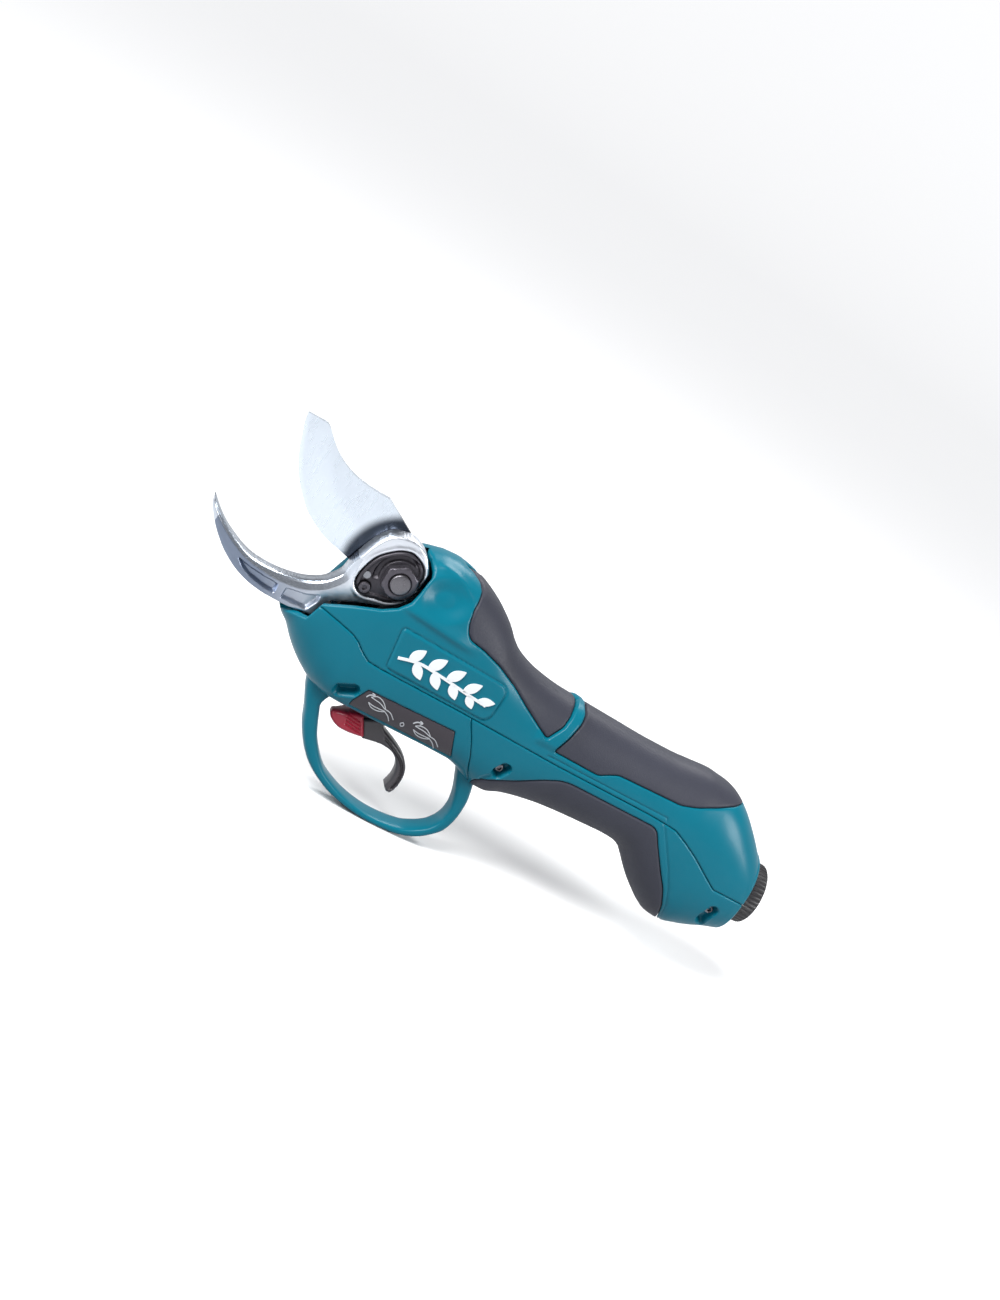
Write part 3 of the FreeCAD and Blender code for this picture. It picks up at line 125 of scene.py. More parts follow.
def signed_distance(outline, points):
    """Distance to a closed outline, positive inside."""
    starts = np.asarray(outline, float)
    flat = points.reshape(-1, 2)
    inside = np.zeros(len(flat), bool)
    for a, b in zip(starts, np.roll(starts, -1, 0)):
        spans = (a[1] > flat[:, 1]) != (b[1] > flat[:, 1])
        with np.errstate(divide="ignore", invalid="ignore"):
            cross_x = a[0] + (flat[:, 1] - a[1]) * (b[0] - a[0]) / (b[1] - a[1])
        inside ^= spans & (flat[:, 0] < cross_x)
    distance = path_distance(starts, points, closed=True)
    return np.where(inside.reshape(distance.shape), distance, -distance)


def ease(start, end, value):
    """Smooth step from 0 at start to 1 at end."""
    t = np.clip((value - start) / (end - start), 0, 1)
    return t * t * (3 - 2 * t)


def bell(offset, width):
    return np.exp(-(offset / width) ** 2)


def edge_drop(distance, radius):
    """Height lost by a rounded edge at a distance from it."""
    q = np.clip(1 - distance / radius, 0, 1)
    return radius * (1 - np.sqrt(np.clip(1 - q * q, 0, 1)))


def curve(points, closed=False, n=8):
    """Catmull-Rom resampling, n steps per span."""
    P = [np.array(point, float) for point in points]
    count = len(P)
    out = []
    for i in range(count if closed else count - 1):
        p0 = P[(i - 1) % count] if closed or i > 0 else P[0]
        p1, p2 = P[i], P[(i + 1) % count]
        p3 = P[(i + 2) % count] if closed or i + 2 < count else P[-1]
        for k in range(n):
            t = k / n
            out.append(0.5 * ((2 * p1) + (-p0 + p2) * t + (2 * p0 - 5 * p1 + 4 * p2 - p3) * t * t
                              + (-p0 + 3 * p1 - 3 * p2 + p3) * t ** 3))
    if not closed:
        out.append(P[-1])
    return np.array(out)


def round_corners(points, radius, n=5):
    """Replaces each corner by a small parabola."""
    P = [np.array(point, float) for point in points]
    out = []
    for i, corner in enumerate(P):
        before, after = P[i - 1] - corner, P[(i + 1) % len(P)] - corner
        before_len, after_len = np.linalg.norm(before), np.linalg.norm(after)
        cut = min(radius, before_len * 0.45, after_len * 0.45)
        start, end = corner + before / before_len * cut, corner + after / after_len * cut
        for j in range(n + 1):
            t = j / n
            out.append((1 - t) ** 2 * start + 2 * t * (1 - t) * corner + t * t * end)
    return np.array(out)


# ------------------------------------------------------------------ mesh helpers
def grid_quads(rows, columns):
    index = np.arange(rows * columns).reshape(rows, columns)
    corners = [index[:-1, :-1], index[1:, :-1], index[1:, 1:], index[:-1, 1:]]
    return np.stack(corners, -1).reshape(-1, 4)


def tube_faces(rings, count, first=0):
    """Quads joining closed rings of count points each, from vertex number first."""
    faces = []
    for i in range(rings - 1):
        for k in range(count):
            a, b = first + i * count + k, first + i * count + (k + 1) % count
            faces.append((a, b, b + count, a + count))
    return faces


def clip_quads(points, quads, level):
    """Keeps the part of a quad mesh where level > 0, cut cleanly at level = 0."""
    inside, on_cut = level > 0, level == 0
    count = inside[quads].sum(1)
    whole = ((inside | on_cut)[quads].sum(1) == 4) & (count > 0)
    faces = [tuple(quad) for quad in quads[whole]]
    verts = list(map(tuple, points))
    cuts = {}

    def cut(i, j):
        key = (min(i, j), max(i, j))
        if key not in cuts:
            share = level[i] / (level[i] - level[j])
            cuts[key] = len(verts)
            verts.append(tuple(points[i] + share * (points[j] - points[i])))
        return cuts[key]

    for quad in quads[(count > 0) & ~whole].tolist():
        face = []
        for i, j in zip(quad, quad[1:] + quad[:1]):
            if inside[i] or on_cut[i]:
                face.append(i)
            if inside[i] != inside[j] and not on_cut[i] and not on_cut[j]:
                face.append(cut(i, j))
        if len(face) >= 3:
            faces.append(tuple(face))
    used = sorted({i for face in faces for i in face})
    renumber = {old: new for new, old in enumerate(used)}
    return np.array([verts[i] for i in used]), [tuple(renumber[i] for i in f) for f in faces]


def rim(faces):
    """Directed edges that belong to one face only."""
    edges = dict.fromkeys((a, b) for f in faces for a, b in zip(f, f[1:] + f[:1]))
    return [(a, b) for a, b in edges if (b, a) not in edges]


def mirrored(verts, faces):
    return verts * MIRROR, [tuple(reversed(face)) for face in faces]


def piece(name, verts, faces, slot, look=None, body="housing", node=None, sharp=40):
    """Adds a mesh object. look names its material where that isn't the slot's own."""
    mesh = bpy.data.meshes.new(name)
    mesh.from_pydata(world(verts).tolist(), [], [tuple(int(i) for i in f) for f in faces])
    mesh.validate()
    mesh.update()
    ob = bpy.data.objects.new(name, mesh)
    bpy.context.scene.collection.objects.link(ob)
    mesh.materials.append(MATERIALS[look or slot])
    for polygon in mesh.polygons:
        polygon.use_smooth = True
    mesh.set_sharp_from_angle(angle=math.radians(sharp))
    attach(ob, body)
    if node:
        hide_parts(node)
    return ob


def plate(outline, cell, near, far):
    """Solid over an x, z outline. near and far give y from x, z and the distance to the edge."""
    outline = np.asarray(outline, float)
    low, high = outline.min(0) - cell, outline.max(0) + cell
    nx, nz = (int((high[k] - low[k]) / cell) + 2 for k in (0, 1))
    x, z = np.meshgrid(low[0] + np.arange(nx) * cell, low[1] + np.arange(nz) * cell,
                       indexing="ij")
    grid = np.stack([x.ravel(), z.ravel()], -1)
    inset = signed_distance(outline, grid)
    # grid points close to the edge are moved onto it, so that no slivers are left
    slope_x, slope_z = np.gradient(inset.reshape(nx, nz), cell)
    slope = np.stack([slope_x.ravel(), slope_z.ravel()], -1)
    slope /= np.maximum(np.linalg.norm(slope, axis=1, keepdims=True), 0.5)
    close = np.abs(inset) < 0.42 * cell
    grid[close] -= inset[close, None] * slope[close]
    inset[close] = 0.0
    flat, face = clip_quads(grid, grid_quads(nx, nz), inset)
    inset = np.maximum(signed_distance(outline, flat), 0)
    x, z = flat[:, 0], flat[:, 1]
    n = len(flat)
    verts = np.concatenate([np.stack([x, side(x, z, inset), z], -1) for side in (near, far)])
    faces = face + [tuple(i + n for i in reversed(f)) for f in face]
    faces += [(b, a, a + n, b + n) for a, b in rim(face)]
    return verts, faces


def flat_at(y):
    return lambda x, z, inset: np.full(len(x), y)


def rings_about_y(profile, count, centre=(0.0, 0.0), shape=lambda radius, angle: radius):
    """Rings of points for the y, radius rows of a profile; shape alters a radius by angle."""
    verts = []
    for y, radius in profile:
        for k in range(count):
            angle = 2 * math.pi * k / count
            r = shape(radius, angle)
            verts.append((centre[0] + r * math.cos(angle), y, centre[1] + r * math.sin(angle)))
    return verts


# ------------------------------------------------------------------ materials
MATERIALS = {}


def add_node(tree, kind, values=None, **settings):
    node = tree.nodes.new(kind)
    for key, value in settings.items():
        setattr(node, key, value)
    for key, value in (values or {}).items():
        node.inputs[key].default_value = value
    return node


def material(name, base, rough=0.4, metal=0.0, grain=0.05, grain_scale=900.0, bump=0.05,
             wear=0.12, coat=0.0, brushed=None, bevel=0.0, specular=0.5):
    """grain: spread of roughness; wear: spread of colour; brushed: stretch of the grain."""
    made = bpy.data.materials.new(name)
    made.use_nodes = True
    tree = made.node_tree
    tree.nodes.clear()
    link = tree.links.new
    output = add_node(tree, "ShaderNodeOutputMaterial")
    shader = add_node(tree, "ShaderNodeBsdfPrincipled",
                      {"Metallic": metal, "Specular IOR Level": specular})
    link(shader.outputs[0], output.inputs[0])
    place = add_node(tree, "ShaderNodeTexCoord")
    stretch = add_node(tree, "ShaderNodeMapping", {"Scale": brushed} if brushed else None)
    link(place.outputs["Object"], stretch.inputs["Vector"])
    fine = add_node(tree, "ShaderNodeTexNoise", {"Scale": grain_scale, "Detail": 4})
    link(stretch.outputs[0], fine.inputs["Vector"])
    # the colour varies with a broad noise
    broad = add_node(tree, "ShaderNodeTexNoise", {"Scale": 28, "Detail": 6})
    link(place.outputs["Object"], broad.inputs["Vector"])
    tone = add_node(tree, "ShaderNodeMix", data_type="RGBA", values={
        "A": [c * (1 - wear) for c in base] + [1],
        "B": [c * (1 + wear) + 0.004 * wear for c in base] + [1]})
    link(broad.outputs["Fac"], tone.inputs["Factor"])
    link(tone.outputs["Result"], shader.inputs["Base Color"])
    # roughness and bump follow the fine noise
    spread = add_node(tree, "ShaderNodeMapRange", {
        "From Min": 0.3, "From Max": 0.7, "To Min": rough - grain, "To Max": rough + grain})
    link(fine.outputs["Fac"], spread.inputs["Value"])
    link(spread.outputs["Result"], shader.inputs["Roughness"])
    if coat:
        shader.inputs["Coat Weight"].default_value = coat
        shader.inputs["Coat Roughness"].default_value = 0.2
    relief_node = add_node(tree, "ShaderNodeBump", {"Strength": bump, "Distance": 0.0002})
    link(fine.outputs["Fac"], relief_node.inputs["Height"])
    if bevel:
        corner = add_node(tree, "ShaderNodeBevel", {"Radius": bevel}, samples=6)
        link(corner.outputs[0], relief_node.inputs["Normal"])
    link(relief_node.outputs[0], shader.inputs["Normal"])
    MATERIALS[name] = made


material("teal_casing", base=(0.0010, 0.142, 0.205), rough=0.32, grain=0.03, wear=0.10,
         coat=0.08, specular=0.18)
material("soft_grip", base=(0.036, 0.038, 0.053), rough=0.50, specular=0.3, bump=0.40,
         grain=0.08, grain_scale=1500, wear=0.30)
material("label_black", base=(0.030, 0.024, 0.032), wear=0.1)
material("print_white", base=(0.82, 0.84, 0.85), bump=0.02, wear=0.03)
material("print_grey", base=(0.55, 0.57, 0.6), rough=0.45, bump=0.02, wear=0.03)
material("hook_steel", base=(0.22, 0.26, 0.34), rough=0.36, metal=1.0, bump=0.10, grain=0.08,
         grain_scale=700, wear=0.16)
material("hook_ground", base=(0.62, 0.67, 0.74), rough=0.24, metal=1.0, brushed=(1, 1, 6),
         wear=0.05)
material("blade_steel", base=(0.80, 0.87, 0.95), rough=0.25, metal=1.0, bump=0.012,
         brushed=(3.0, 1, 0.5), grain_scale=260, wear=0.05)
material("black_steel", base=(0.060, 0.056, 0.066), rough=0.36, metal=0.6, bump=0.10,
         grain=0.1, wear=0.2, bevel=0.0004)
material("dark_steel", base=(0.105, 0.098, 0.115), rough=0.34, metal=0.75, bump=0.10,
         grain=0.1, wear=0.2, bevel=0.0005)
material("bolt_end_steel", base=(0.17, 0.165, 0.18), rough=0.33, metal=0.85, bump=0.06,
         grain=0.08, wear=0.2)
material("dowel_steel", base=(0.30, 0.31, 0.34), rough=0.3, metal=0.9)
material("bright_steel", base=(0.62, 0.64, 0.67), rough=0.25, metal=1.0, bevel=0.0003)
material("frame_alloy", base=(0.30, 0.31, 0.33), rough=0.5, metal=0.9, bump=0.3,
         grain_scale=1200, bevel=0.0005)
material("bronze", base=(0.62, 0.42, 0.18), rough=0.35, metal=1.0)
material("copper", base=(0.65, 0.26, 0.10), rough=0.3, metal=1.0, bump=0.3, brushed=(8, 1, 1))
material("motor_can", base=(0.06, 0.06, 0.065), rough=0.35, metal=0.8, bevel=0.0004)
material("red_plastic", base=(0.42, 0.018, 0.045), rough=0.36, bump=0.08, coat=0.15)
material("black_plastic", base=(0.020, 0.019, 0.021), rough=0.42, bump=0.15, wear=0.2,
         bevel=0.0003)
material("board_green", base=(0.012, 0.11, 0.04), bump=0.1)
material("rubber_black", base=(0.014, 0.014, 0.014), rough=0.6, bump=0.2, wear=0.2)
material("lever_plastic", base=(0.046, 0.041, 0.047), rough=0.34, bump=0.10, wear=0.2, coat=0.1)


def paint_light_near_pivot(name, colour, centre_y, start, end, blend="LINEAR"):
    """Paints light and shade into a material's colour: another colour near the pivot, fading from
    start to end, in metres.
    """
    tree = MATERIALS[name].node_tree
    nodes = {node.type: node for node in reversed(tree.nodes[:])}
    distance = add_node(tree, "ShaderNodeVectorMath", operation="DISTANCE", values={
        1: (-ORIGIN[0] / 1000, centre_y, -ORIGIN[2] / 1000)})
    tree.links.new(nodes["TEX_COORD"].outputs["Object"], distance.inputs[0])
    fade = add_node(tree, "ShaderNodeMapRange", {"From Min": start, "From Max": end},
                    interpolation_type=blend)
    tree.links.new(distance.outputs["Value"], fade.inputs["Value"])
    mix = add_node(tree, "ShaderNodeMix", {"A": colour}, data_type="RGBA")
    base = nodes["BSDF_PRINCIPLED"].inputs["Base Color"]
    tree.links.new(base.links[0].from_socket, mix.inputs["B"])
    tree.links.new(fade.outputs["Result"], mix.inputs["Factor"])
    tree.links.new(mix.outputs["Result"], base)


# painted reflection: the hook's colour is brighter round the pivot, where its near face reflects
# the light
paint_light_near_pivot("hook_steel", (0.84, 0.88, 0.94, 1), centre_y=-0.01, start=0.017, end=0.058)
# painted shadow: the blade's colour is dark round its hub, just beyond the hook's head, where the
# head shades it
paint_light_near_pivot("blade_steel", (0.055, 0.065, 0.085, 1), centre_y=0, start=0.0225,
                  end=0.0275, blend="SMOOTHSTEP")

for subpart in frame["record"]["subparts"]:
    cad_part = frame["nodes"].get(subpart["node"])
    if cad_part is not None:
        is_dowel = subpart["node"] == "lock_dowel"
        chosen = MATERIALS["dowel_steel" if is_dowel else subpart["material_slot"]]
        if len(cad_part.material_slots) == 0:
            cad_part.data.materials.append(chosen)
        for material_slot in cad_part.material_slots:
            material_slot.material = chosen

# ------------------------------------------------------------------ casing skin
# stations along the casing: x, then the value there
TOP_Z = [
    (-36.5, -31.5), (-34, -25), (-30, -13), (-25, -3), (-20, 4), (-15, 8.6), (-8, 12),
    (0, 13.8), (8, 16.2), (15, 17.6), (20, 17.9), (25, 17.2), (30, 16.0), (35, 14.4),
    (40, 12.2), (45, 9.6), (50, 6.4), (55, 2.7), (60, -2.0), (65, -5.7), (70, -8.0),
    (75, -9.6), (80, -10.7), (90, -12.1), (100, -12.7), (120, -13.7), (140, -14.5),
    (150, -14.5), (160, -13.8), (170, -13.1), (175, -13.6), (180, -14.2), (185, -15.6),
    (190, -18.0), (195, -21.3), (200, -25.5), (205, -30.1), (210, -35.2), (212.6, -38.2)]
BOTTOM_Z = [
    (-36.5, -35.5), (-34, -38.5), (-30, -41.6), (-25, -46.9), (-20, -51.4), (-15, -55.0),
    (-8, -58.6), (0, -60.0), (8, -60.3), (30, -60.3), (50, -60.3), (60, -60.9), (66, -62.6),
    (72, -65.4), (78, -67.6), (83, -67.8), (90, -65.4), (100, -63.2), (110, -61.8),
    (120, -61.1), (130, -60.7), (140, -60.4), (147, -60.8), (152, -62.6), (156, -65.9),
    (160, -69.8), (165, -74.4), (170, -78.2), (175, -81.6), (180, -83.9), (187, -84.7),
    (195, -82.7), (200, -80.8), (205, -78.5), (212.6, -75.8)]
HALF_WIDTH = [
    (-36.5, 5.5), (-34, 10.5), (-30, 14.3), (-25, 17.0), (-20, 18.6), (-15, 19.6), (-8, 20.6),
    (0, 21.2), (15, 21.4), (30, 20.9), (45, 20.1), (60, 19.4), (75, 18.9), (90, 18.3),
    (105, 18.0), (140, 18.0), (160, 18.6), (175, 19.5), (188, 20.0), (200, 19.8),
    (208, 18.9), (212.6, 17.6)]
# superellipse exponents of the upper and lower half of the section
POWER_HIGH = [(-36.5, 2.0), (-20, 2.2), (0, 2.45), (60, 2.5), (90, 2.35), (150, 2.3),
              (175, 2.4), (212.6, 2.3)]
POWER_LOW = [(-36.5, 2.0), (-22, 2.3), (-8, 3.0), (2, 4.0), (52, 4.2), (64, 3.4), (80, 2.6),
             (100, 2.35), (150, 2.3), (175, 2.4), (212.6, 2.3)]
TAIL_X = 211.0              # where the tail's rounded edge begins
TAIL_ROUND = 1.5
TAIL_CENTRE_Z = -56.5
TAIL_HOLE_RADIUS = 12.6
SECTION_STEPS = 184         # steps from the bottom to the top of a half section


def monotone(table, xs):
    """Monotone cubic interpolation of x, value rows."""
    spans = [b[0] - a[0] for a, b in zip(table, table[1:])]
    slopes = [(b[1] - a[1]) / span for a, b, span in zip(table, table[1:], spans)]
    tangents = [slopes[0]]
    for i in range(1, len(spans)):
        if slopes[i - 1] * slopes[i] <= 0:
            tangents.append(0.0)
        else:
            w1, w2 = 2 * spans[i] + spans[i - 1], spans[i] + 2 * spans[i - 1]
            tangents.append((w1 + w2) / (w1 / slopes[i - 1] + w2 / slopes[i]))
    tangents.append(slopes[-1])
    values = []
    for x in xs:
        i = next(i for i in range(len(spans)) if x <= table[i + 1][0])
        t = (x - table[i][0]) / spans[i]
        values.append((2 * t ** 3 - 3 * t ** 2 + 1) * table[i][1]
                      + (t ** 3 - 2 * t ** 2 + t) * spans[i] * tangents[i]
                      + (-2 * t ** 3 + 3 * t ** 2) * table[i + 1][1]
                      + (t ** 3 - t ** 2) * spans[i] * tangents[i + 1])
    return np.array(values)


station_x = np.arange(-36.5, TAIL_X + 0.01, 0.45)
# columns: top z, bottom z, half width, upper exponent, lower exponent
stations = [monotone(table, station_x)
            for table in (TOP_Z, BOTTOM_Z, HALF_WIDTH, POWER_HIGH, POWER_LOW)]


def half_section(top, bottom, half_width, power_high, power_low):
    """y, z from the bottom, up the left side, to the top, evenly spaced along the outline."""
    angle = np.linspace(-math.pi / 2, math.pi / 2, 1600)
    c, s = np.cos(angle), np.sin(angle)
    power = np.where(s < 0, power_low, power_high)
    y = -half_width * np.abs(c) ** (2 / power)
    z = (top + bottom) / 2 + (top - bottom) / 2 * np.sign(s) * np.abs(s) ** (2 / power)
    length = np.concatenate([[0], np.cumsum(np.hypot(np.diff(y), np.diff(z)))])
    even = np.linspace(0, length[-1], SECTION_STEPS + 1)
    return np.interp(even, length, y), np.interp(even, length, z)


def skin_rows():
    """Left half of the skin as rows of points from the nose to the hole in the tail."""
    sections = [half_section(*values) for values in zip(*stations)]
    rows = []
    # nose cap, widening to the first section
    y, z = sections[0]
    nose_z = (stations[0][0] + stations[1][0]) / 2
    for k in range(4):
        angle = math.radians(90 - 90 * k / 4)
        scale = math.cos(angle) * 0.98 + 0.001
        x = station_x[0] - 0.15 * math.sin(angle)
        rows.append(np.stack([np.full_like(y, x), y * scale, nose_z + (z - nose_z) * scale], -1))
    for x, (y, z) in zip(station_x, sections):
        rows.append(np.stack([np.full_like(y, x), y, z], -1))
    # rounded edge of the tail
    last = rows[-1]
    spoke = np.stack([last[:, 1], last[:, 2] - TAIL_CENTRE_Z], -1)
    reach = np.linalg.norm(spoke, axis=1)
    for k in range(1, 6):
        angle = math.radians(90 * k / 5)
        shrink = TAIL_ROUND * (1 - math.cos(angle))
        moved = spoke / reach[:, None] * (reach - shrink)[:, None]
        x = np.full_like(reach, TAIL_X + TAIL_ROUND * math.sin(angle))
        rows.append(np.stack([x, moved[:, 0], moved[:, 1] + TAIL_CENTRE_Z], -1))
    # flat end face, in to the hole behind the coupling ring
    edge = rows[-1]
    angle = np.linspace(-math.pi / 2, math.pi / 2, SECTION_STEPS + 1)
    hole = np.stack([np.full(SECTION_STEPS + 1, TAIL_X + TAIL_ROUND),
                     -TAIL_HOLE_RADIUS * np.cos(angle),
                     ORIGIN[2] + TAIL_HOLE_RADIUS * np.sin(angle)], -1)
    rows += [edge + (hole - edge) * k / 5 for k in range(1, 6)]
    return np.array(rows)


skin = skin_rows()
normals = np.cross(np.gradient(skin, axis=0), np.gradient(skin, axis=1))
normals /= np.linalg.norm(normals, axis=2, keepdims=True) + 1e-12
# no sideways drift on the mid-plane
normals[:, [0, -1], 1] = 0

side_points = seen_on(skin, SIDE_PLANE_Y)
skin_xz = skin[..., [0, 2]]
skin_x, skin_z = skin_xz[..., 0], skin_xz[..., 1]


def tail(points):
    """Shifts an outline of the tail forward and up to the side plane."""
    return [(x - 0.9, z + 0.7) for x, z in points]


# casing outlines, x and z on the side plane
PARTING = [(-80, -23), (-24, -23), (-15, -25), (-7, -27), (-3, -29), (0, -31.5), (5, -34.5),
           (12, -35), (50, -35.5), (75, -36.2), (100, -37)] + tail([
               (150, -38), (160, -38.5), (165, -39), (172, -42), (180, -46), (190, -52),
               (196, -55.5), (240, -55.5)])
UPPER = PARTING + [(240, 120), (-80, 120)]
GUARD = round_corners([
    (-90, 20), (52, 20), (57, -36.5), (62, -44), (66, -51.5), (68, -57), (70.5, -61),
    (76, -80), (40, -180), (-90, -180)], radius=2.0)
FRONT_GRIP = round_corners([
    (14, 80), (16, 24), (22, 22), (27, 19.5), (30, 16), (31, 12), (31.5, 7), (33, 1), (35, -3),
    (37.5, -5.2), (45, -6.5), (55, -9.5), (65, -14), (75, -20), (85, -25.5), (90, -28),
    (93.5, -20), (93.5, -14), (92, -8), (90, -5), (78, 80)], radius=1.4)
REAR_GRIP = round_corners(tail([
    (88, 80), (96, -6.5), (99.5, -11), (100.5, -16), (99.5, -24), (97, -32.5), (120, -33),
    (124, -30.5), (128, -28.5), (160, -27.5), (167, -25), (175, -20.5), (182, -15.5),
    (184, -11), (170, 80)]), radius=1.6)
LOWER_GRIP = round_corners(tail([
    (66, -120), (73, -61), (80, -57.5), (90, -52.5), (100, -46.5), (107, -43), (112, -42),
    (155, -42), (158, -43.5), (162, -49), (170, -59), (176, -66), (180, -73), (181, -77.5),
    (180, -120)]), radius=1.6)
LABEL = round_corners([(12, -45.6), (54, -44.5), (58.6, -55.6), (8.0, -55.6), (8.2, -53.5)],
                      radius=0.7)
NAME_PANEL = round_corners([(10, -14), (60.5, -16), (63.5, -18.5), (63.5, -31), (61, -34),
                            (13, -33)], radius=1.6)
# openings for the head: on the left drawn on the hook's face, on the right in plain x, z
HEAD_LEFT = [
    (-90, -34.4), (-36, -34.4), (-30, -33.8), (-25.4, -33.4), (-22.7, -24.6), (-20.8, -23.9),
    (-9.6, -18.9), (0.8, -14.8), (6.5, -11), (9.9, -5.8), (10.9, -0.2), (11.3, 8.6),
    (10.0, 11.6), (6.2, 16.3), (2.9, 18.2), (1.5, 22), (0, 60), (-90, 60)]
HEAD_RIGHT = [(-90, -33), (-33, -32.6), (-27, -29), (-20, -20), (-17, -9), (-13.5, 2.5),
              (-8, 10.5), (-1.5, 14), (0, 60), (-90, 60)]
BOLT_OPENING_RADIUS = 11.6

in_upper, in_guard, in_front_grip, in_rear_grip, in_lower_grip, in_label, in_panel = (
    signed_distance(outline, side_points)
    for outline in (UPPER, GUARD, FRONT_GRIP, REAR_GRIP, LOWER_GRIP, LABEL, NAME_PANEL))
in_lower = -in_upper
off_head_left = -signed_distance(HEAD_LEFT, seen_on(skin, HOOK_FACE_Y))
off_head_right = -signed_distance(HEAD_RIGHT, skin_xz)
# round opening over the bolt head on the right
off_bolt = np.hypot(skin_x, skin_z) - BOLT_OPENING_RADIUS
off_bolt[:, 0] = 50

# grooves: line on the side plane, depth
GROOVES = [
    # along the rear grip
    (tail([(96, -35.4), (128, -35.6), (158, -35.6), (159.5, -37.6)]), 0.45),
    # beside the lower grip's rear edge
    (tail([(158.5, -38.8), (165, -47), (172, -56), (178, -65), (181.5, -72), (182.3, -79)]),
     0.5)]
GROOVE_WIDTH = 0.45
# long recesses: centre x, z, half run x, z, radius, depth
RECESSES = [(3.6, -50.2, 2.6, 1.3, 2.6, 4.6), (81.2, -50.6, 0.9, 1.5, 2.5, 4.6),
            (77.2, -55.8, 2.0, 1.9, 0.9, 0.7), (199.7, -66.7, 1.2, 3.0, 2.2, 3.4)]


def recess(centre_x, centre_z, run_x, run_z, radius, depth):
    ends = [(centre_x - run_x, centre_z - run_z), (centre_x + run_x, centre_z + run_z)]
    return -depth * (1 - ease(radius - 0.5, radius + 0.45, path_distance(ends, side_points)))


def skin_relief():
    """Height above the plain skin, shared by every casing piece."""
    x, z = side_points[..., 0], side_points[..., 1]
    height = np.zeros(x.shape)
    # scoop between the head and the front grip
    scoop = np.hypot((x - 19.5) / 13.0, (z - 5.5) / 11.0)
    height -= 2.6 * (1 - ease(0.30, 1.0, scoop))
    # raised name panel with a shallow groove round it
    height += 0.50 * ease(0.0, 0.6, in_panel)
    height -= 0.45 * bell(in_panel + 0.35, 0.38)
    # broad cheek line above the name panel, and a brow line above that
    cheek = z - (-6.0 - 0.10 * (x - 10))
    height += (1.3 * np.where(cheek > 0, bell(cheek, 3.4), bell(cheek, 1.7))
               * ease(2, 12, x) * (1 - ease(31, 46, x)))
    brow = z - (17.5 - 0.02 * (x - 10) ** 2)
    height += 0.7 * bell(brow, 1.6) * ease(6, 12, x) * (1 - ease(24, 31, x))
    # raised rib between the two top grips
    rib = np.minimum(-in_front_grip, -in_rear_grip)
    height += (0.9 * ease(0.0, 1.2, rib) * ease(84, 88, x) * (1 - ease(99, 103, x))
               * ease(-33, -29, z))
    for line, depth in GROOVES:
        height -= depth * bell(path_distance(line, side_points), GROOVE_WIDTH)
    height += sum(recess(*row) for row in RECESSES)
    return height


skin_raised = skin + normals * skin_relief()[..., None]
SKIN_QUADS = grid_quads(*skin.shape[:2])


def common(*fields):
    """Signed distance of the overlap of several areas."""
    return np.minimum.reduce(fields)


def skin_piece(node, slot, left=None, right=None, gap=0.13, edge_radius=0.7, lift=0.0,
               depth=1.6):
    """Casing piece cut out of the skin; left and right are signed distances for each half."""
    verts, faces = [], []
    for area_inset, is_right in ((left, False), (right, True)):
        if area_inset is None:
            continue
        inset = area_inset - gap
        raise_by = lift - edge_drop(np.maximum(inset, 0), edge_radius)
        outer = skin_raised + normals * raise_by[..., None]
        both = np.concatenate([outer, outer - normals * depth], -1).reshape(-1, 6)
        both, half_faces = clip_quads(both, SKIN_QUADS, inset.ravel())
        n = len(both)
        # walls run round the edge, but not along the mid-plane
        central = np.abs(both[:, 1]) < 0.02
        half_faces += [(b, a, a + n, b + n) for a, b in rim(half_faces)
                       if not (central[a] and central[b])]
        half = np.concatenate([both[:, :3], both[:, 3:]])
        if is_right:
            half, half_faces = mirrored(half, half_faces)
        first = sum(map(len, verts))
        verts.append(half)
        faces += [tuple(i + first for i in face) for face in half_faces]
    ob = piece(node + "_skin", np.concatenate(verts), faces, slot, node=node, sharp=50)
    # joins the halves, drops unused inner points and turns the faces outwards
    bm = bmesh.new()
    bm.from_mesh(ob.data)
    bmesh.ops.remove_doubles(bm, verts=bm.verts, dist=0.00001)
    loose = [vert for vert in bm.verts if not vert.link_faces]
    bmesh.ops.delete(bm, geom=loose, context="VERTS")
    bmesh.ops.recalc_face_normals(bm, faces=bm.faces)
    bm.to_mesh(ob.data)
    bm.free()


# slot in the underside, for the trigger
in_slot = common(skin_x - 23.0, 41.5 - skin_x, 5.0 - np.abs(skin[..., 1]))
off_slot = np.where(skin_z < -50, -in_slot, 50)

upper = common(in_upper, -in_front_grip, -in_rear_grip)
guard = common(in_lower, in_guard, -in_label)
lower = common(in_lower, -in_guard, -in_lower_grip)
skin_piece("upper_shell", "teal_casing", common(upper, off_head_left),
           common(upper, off_head_right, off_bolt), depth=2.6)
skin_piece("guard_shell_left", "teal_casing", left=common(guard, off_head_left, off_slot),
           depth=2.2)
skin_piece("guard_shell_right", "teal_casing", right=common(guard, off_head_right, off_slot),
           depth=2.2)
skin_piece("lower_shell_left", "teal_casing", left=lower, depth=2.2)
skin_piece("lower_shell_right", "teal_casing", right=lower, depth=2.2)
for grip_node, in_grip in (("front_top_grip", in_front_grip), ("rear_top_grip", in_rear_grip)):
    top_grip = common(in_grip, in_upper)
    skin_piece(grip_node, "soft_grip", top_grip, top_grip, gap=0.18, edge_radius=1.0, lift=0.12)
lower_grip = common(in_lower_grip, in_lower, -in_guard)
label = common(in_label, in_lower)
for side_name in ("left", "right"):
    skin_piece("lower_grip_" + side_name, "soft_grip", **{side_name: lower_grip}, gap=0.18,
               edge_radius=1.0, lift=0.1)
for side_name in ("left", "right"):
    skin_piece("label_plate_" + side_name, "label_black", **{side_name: label}, gap=0.1,
               edge_radius=0.4, lift=-0.15)


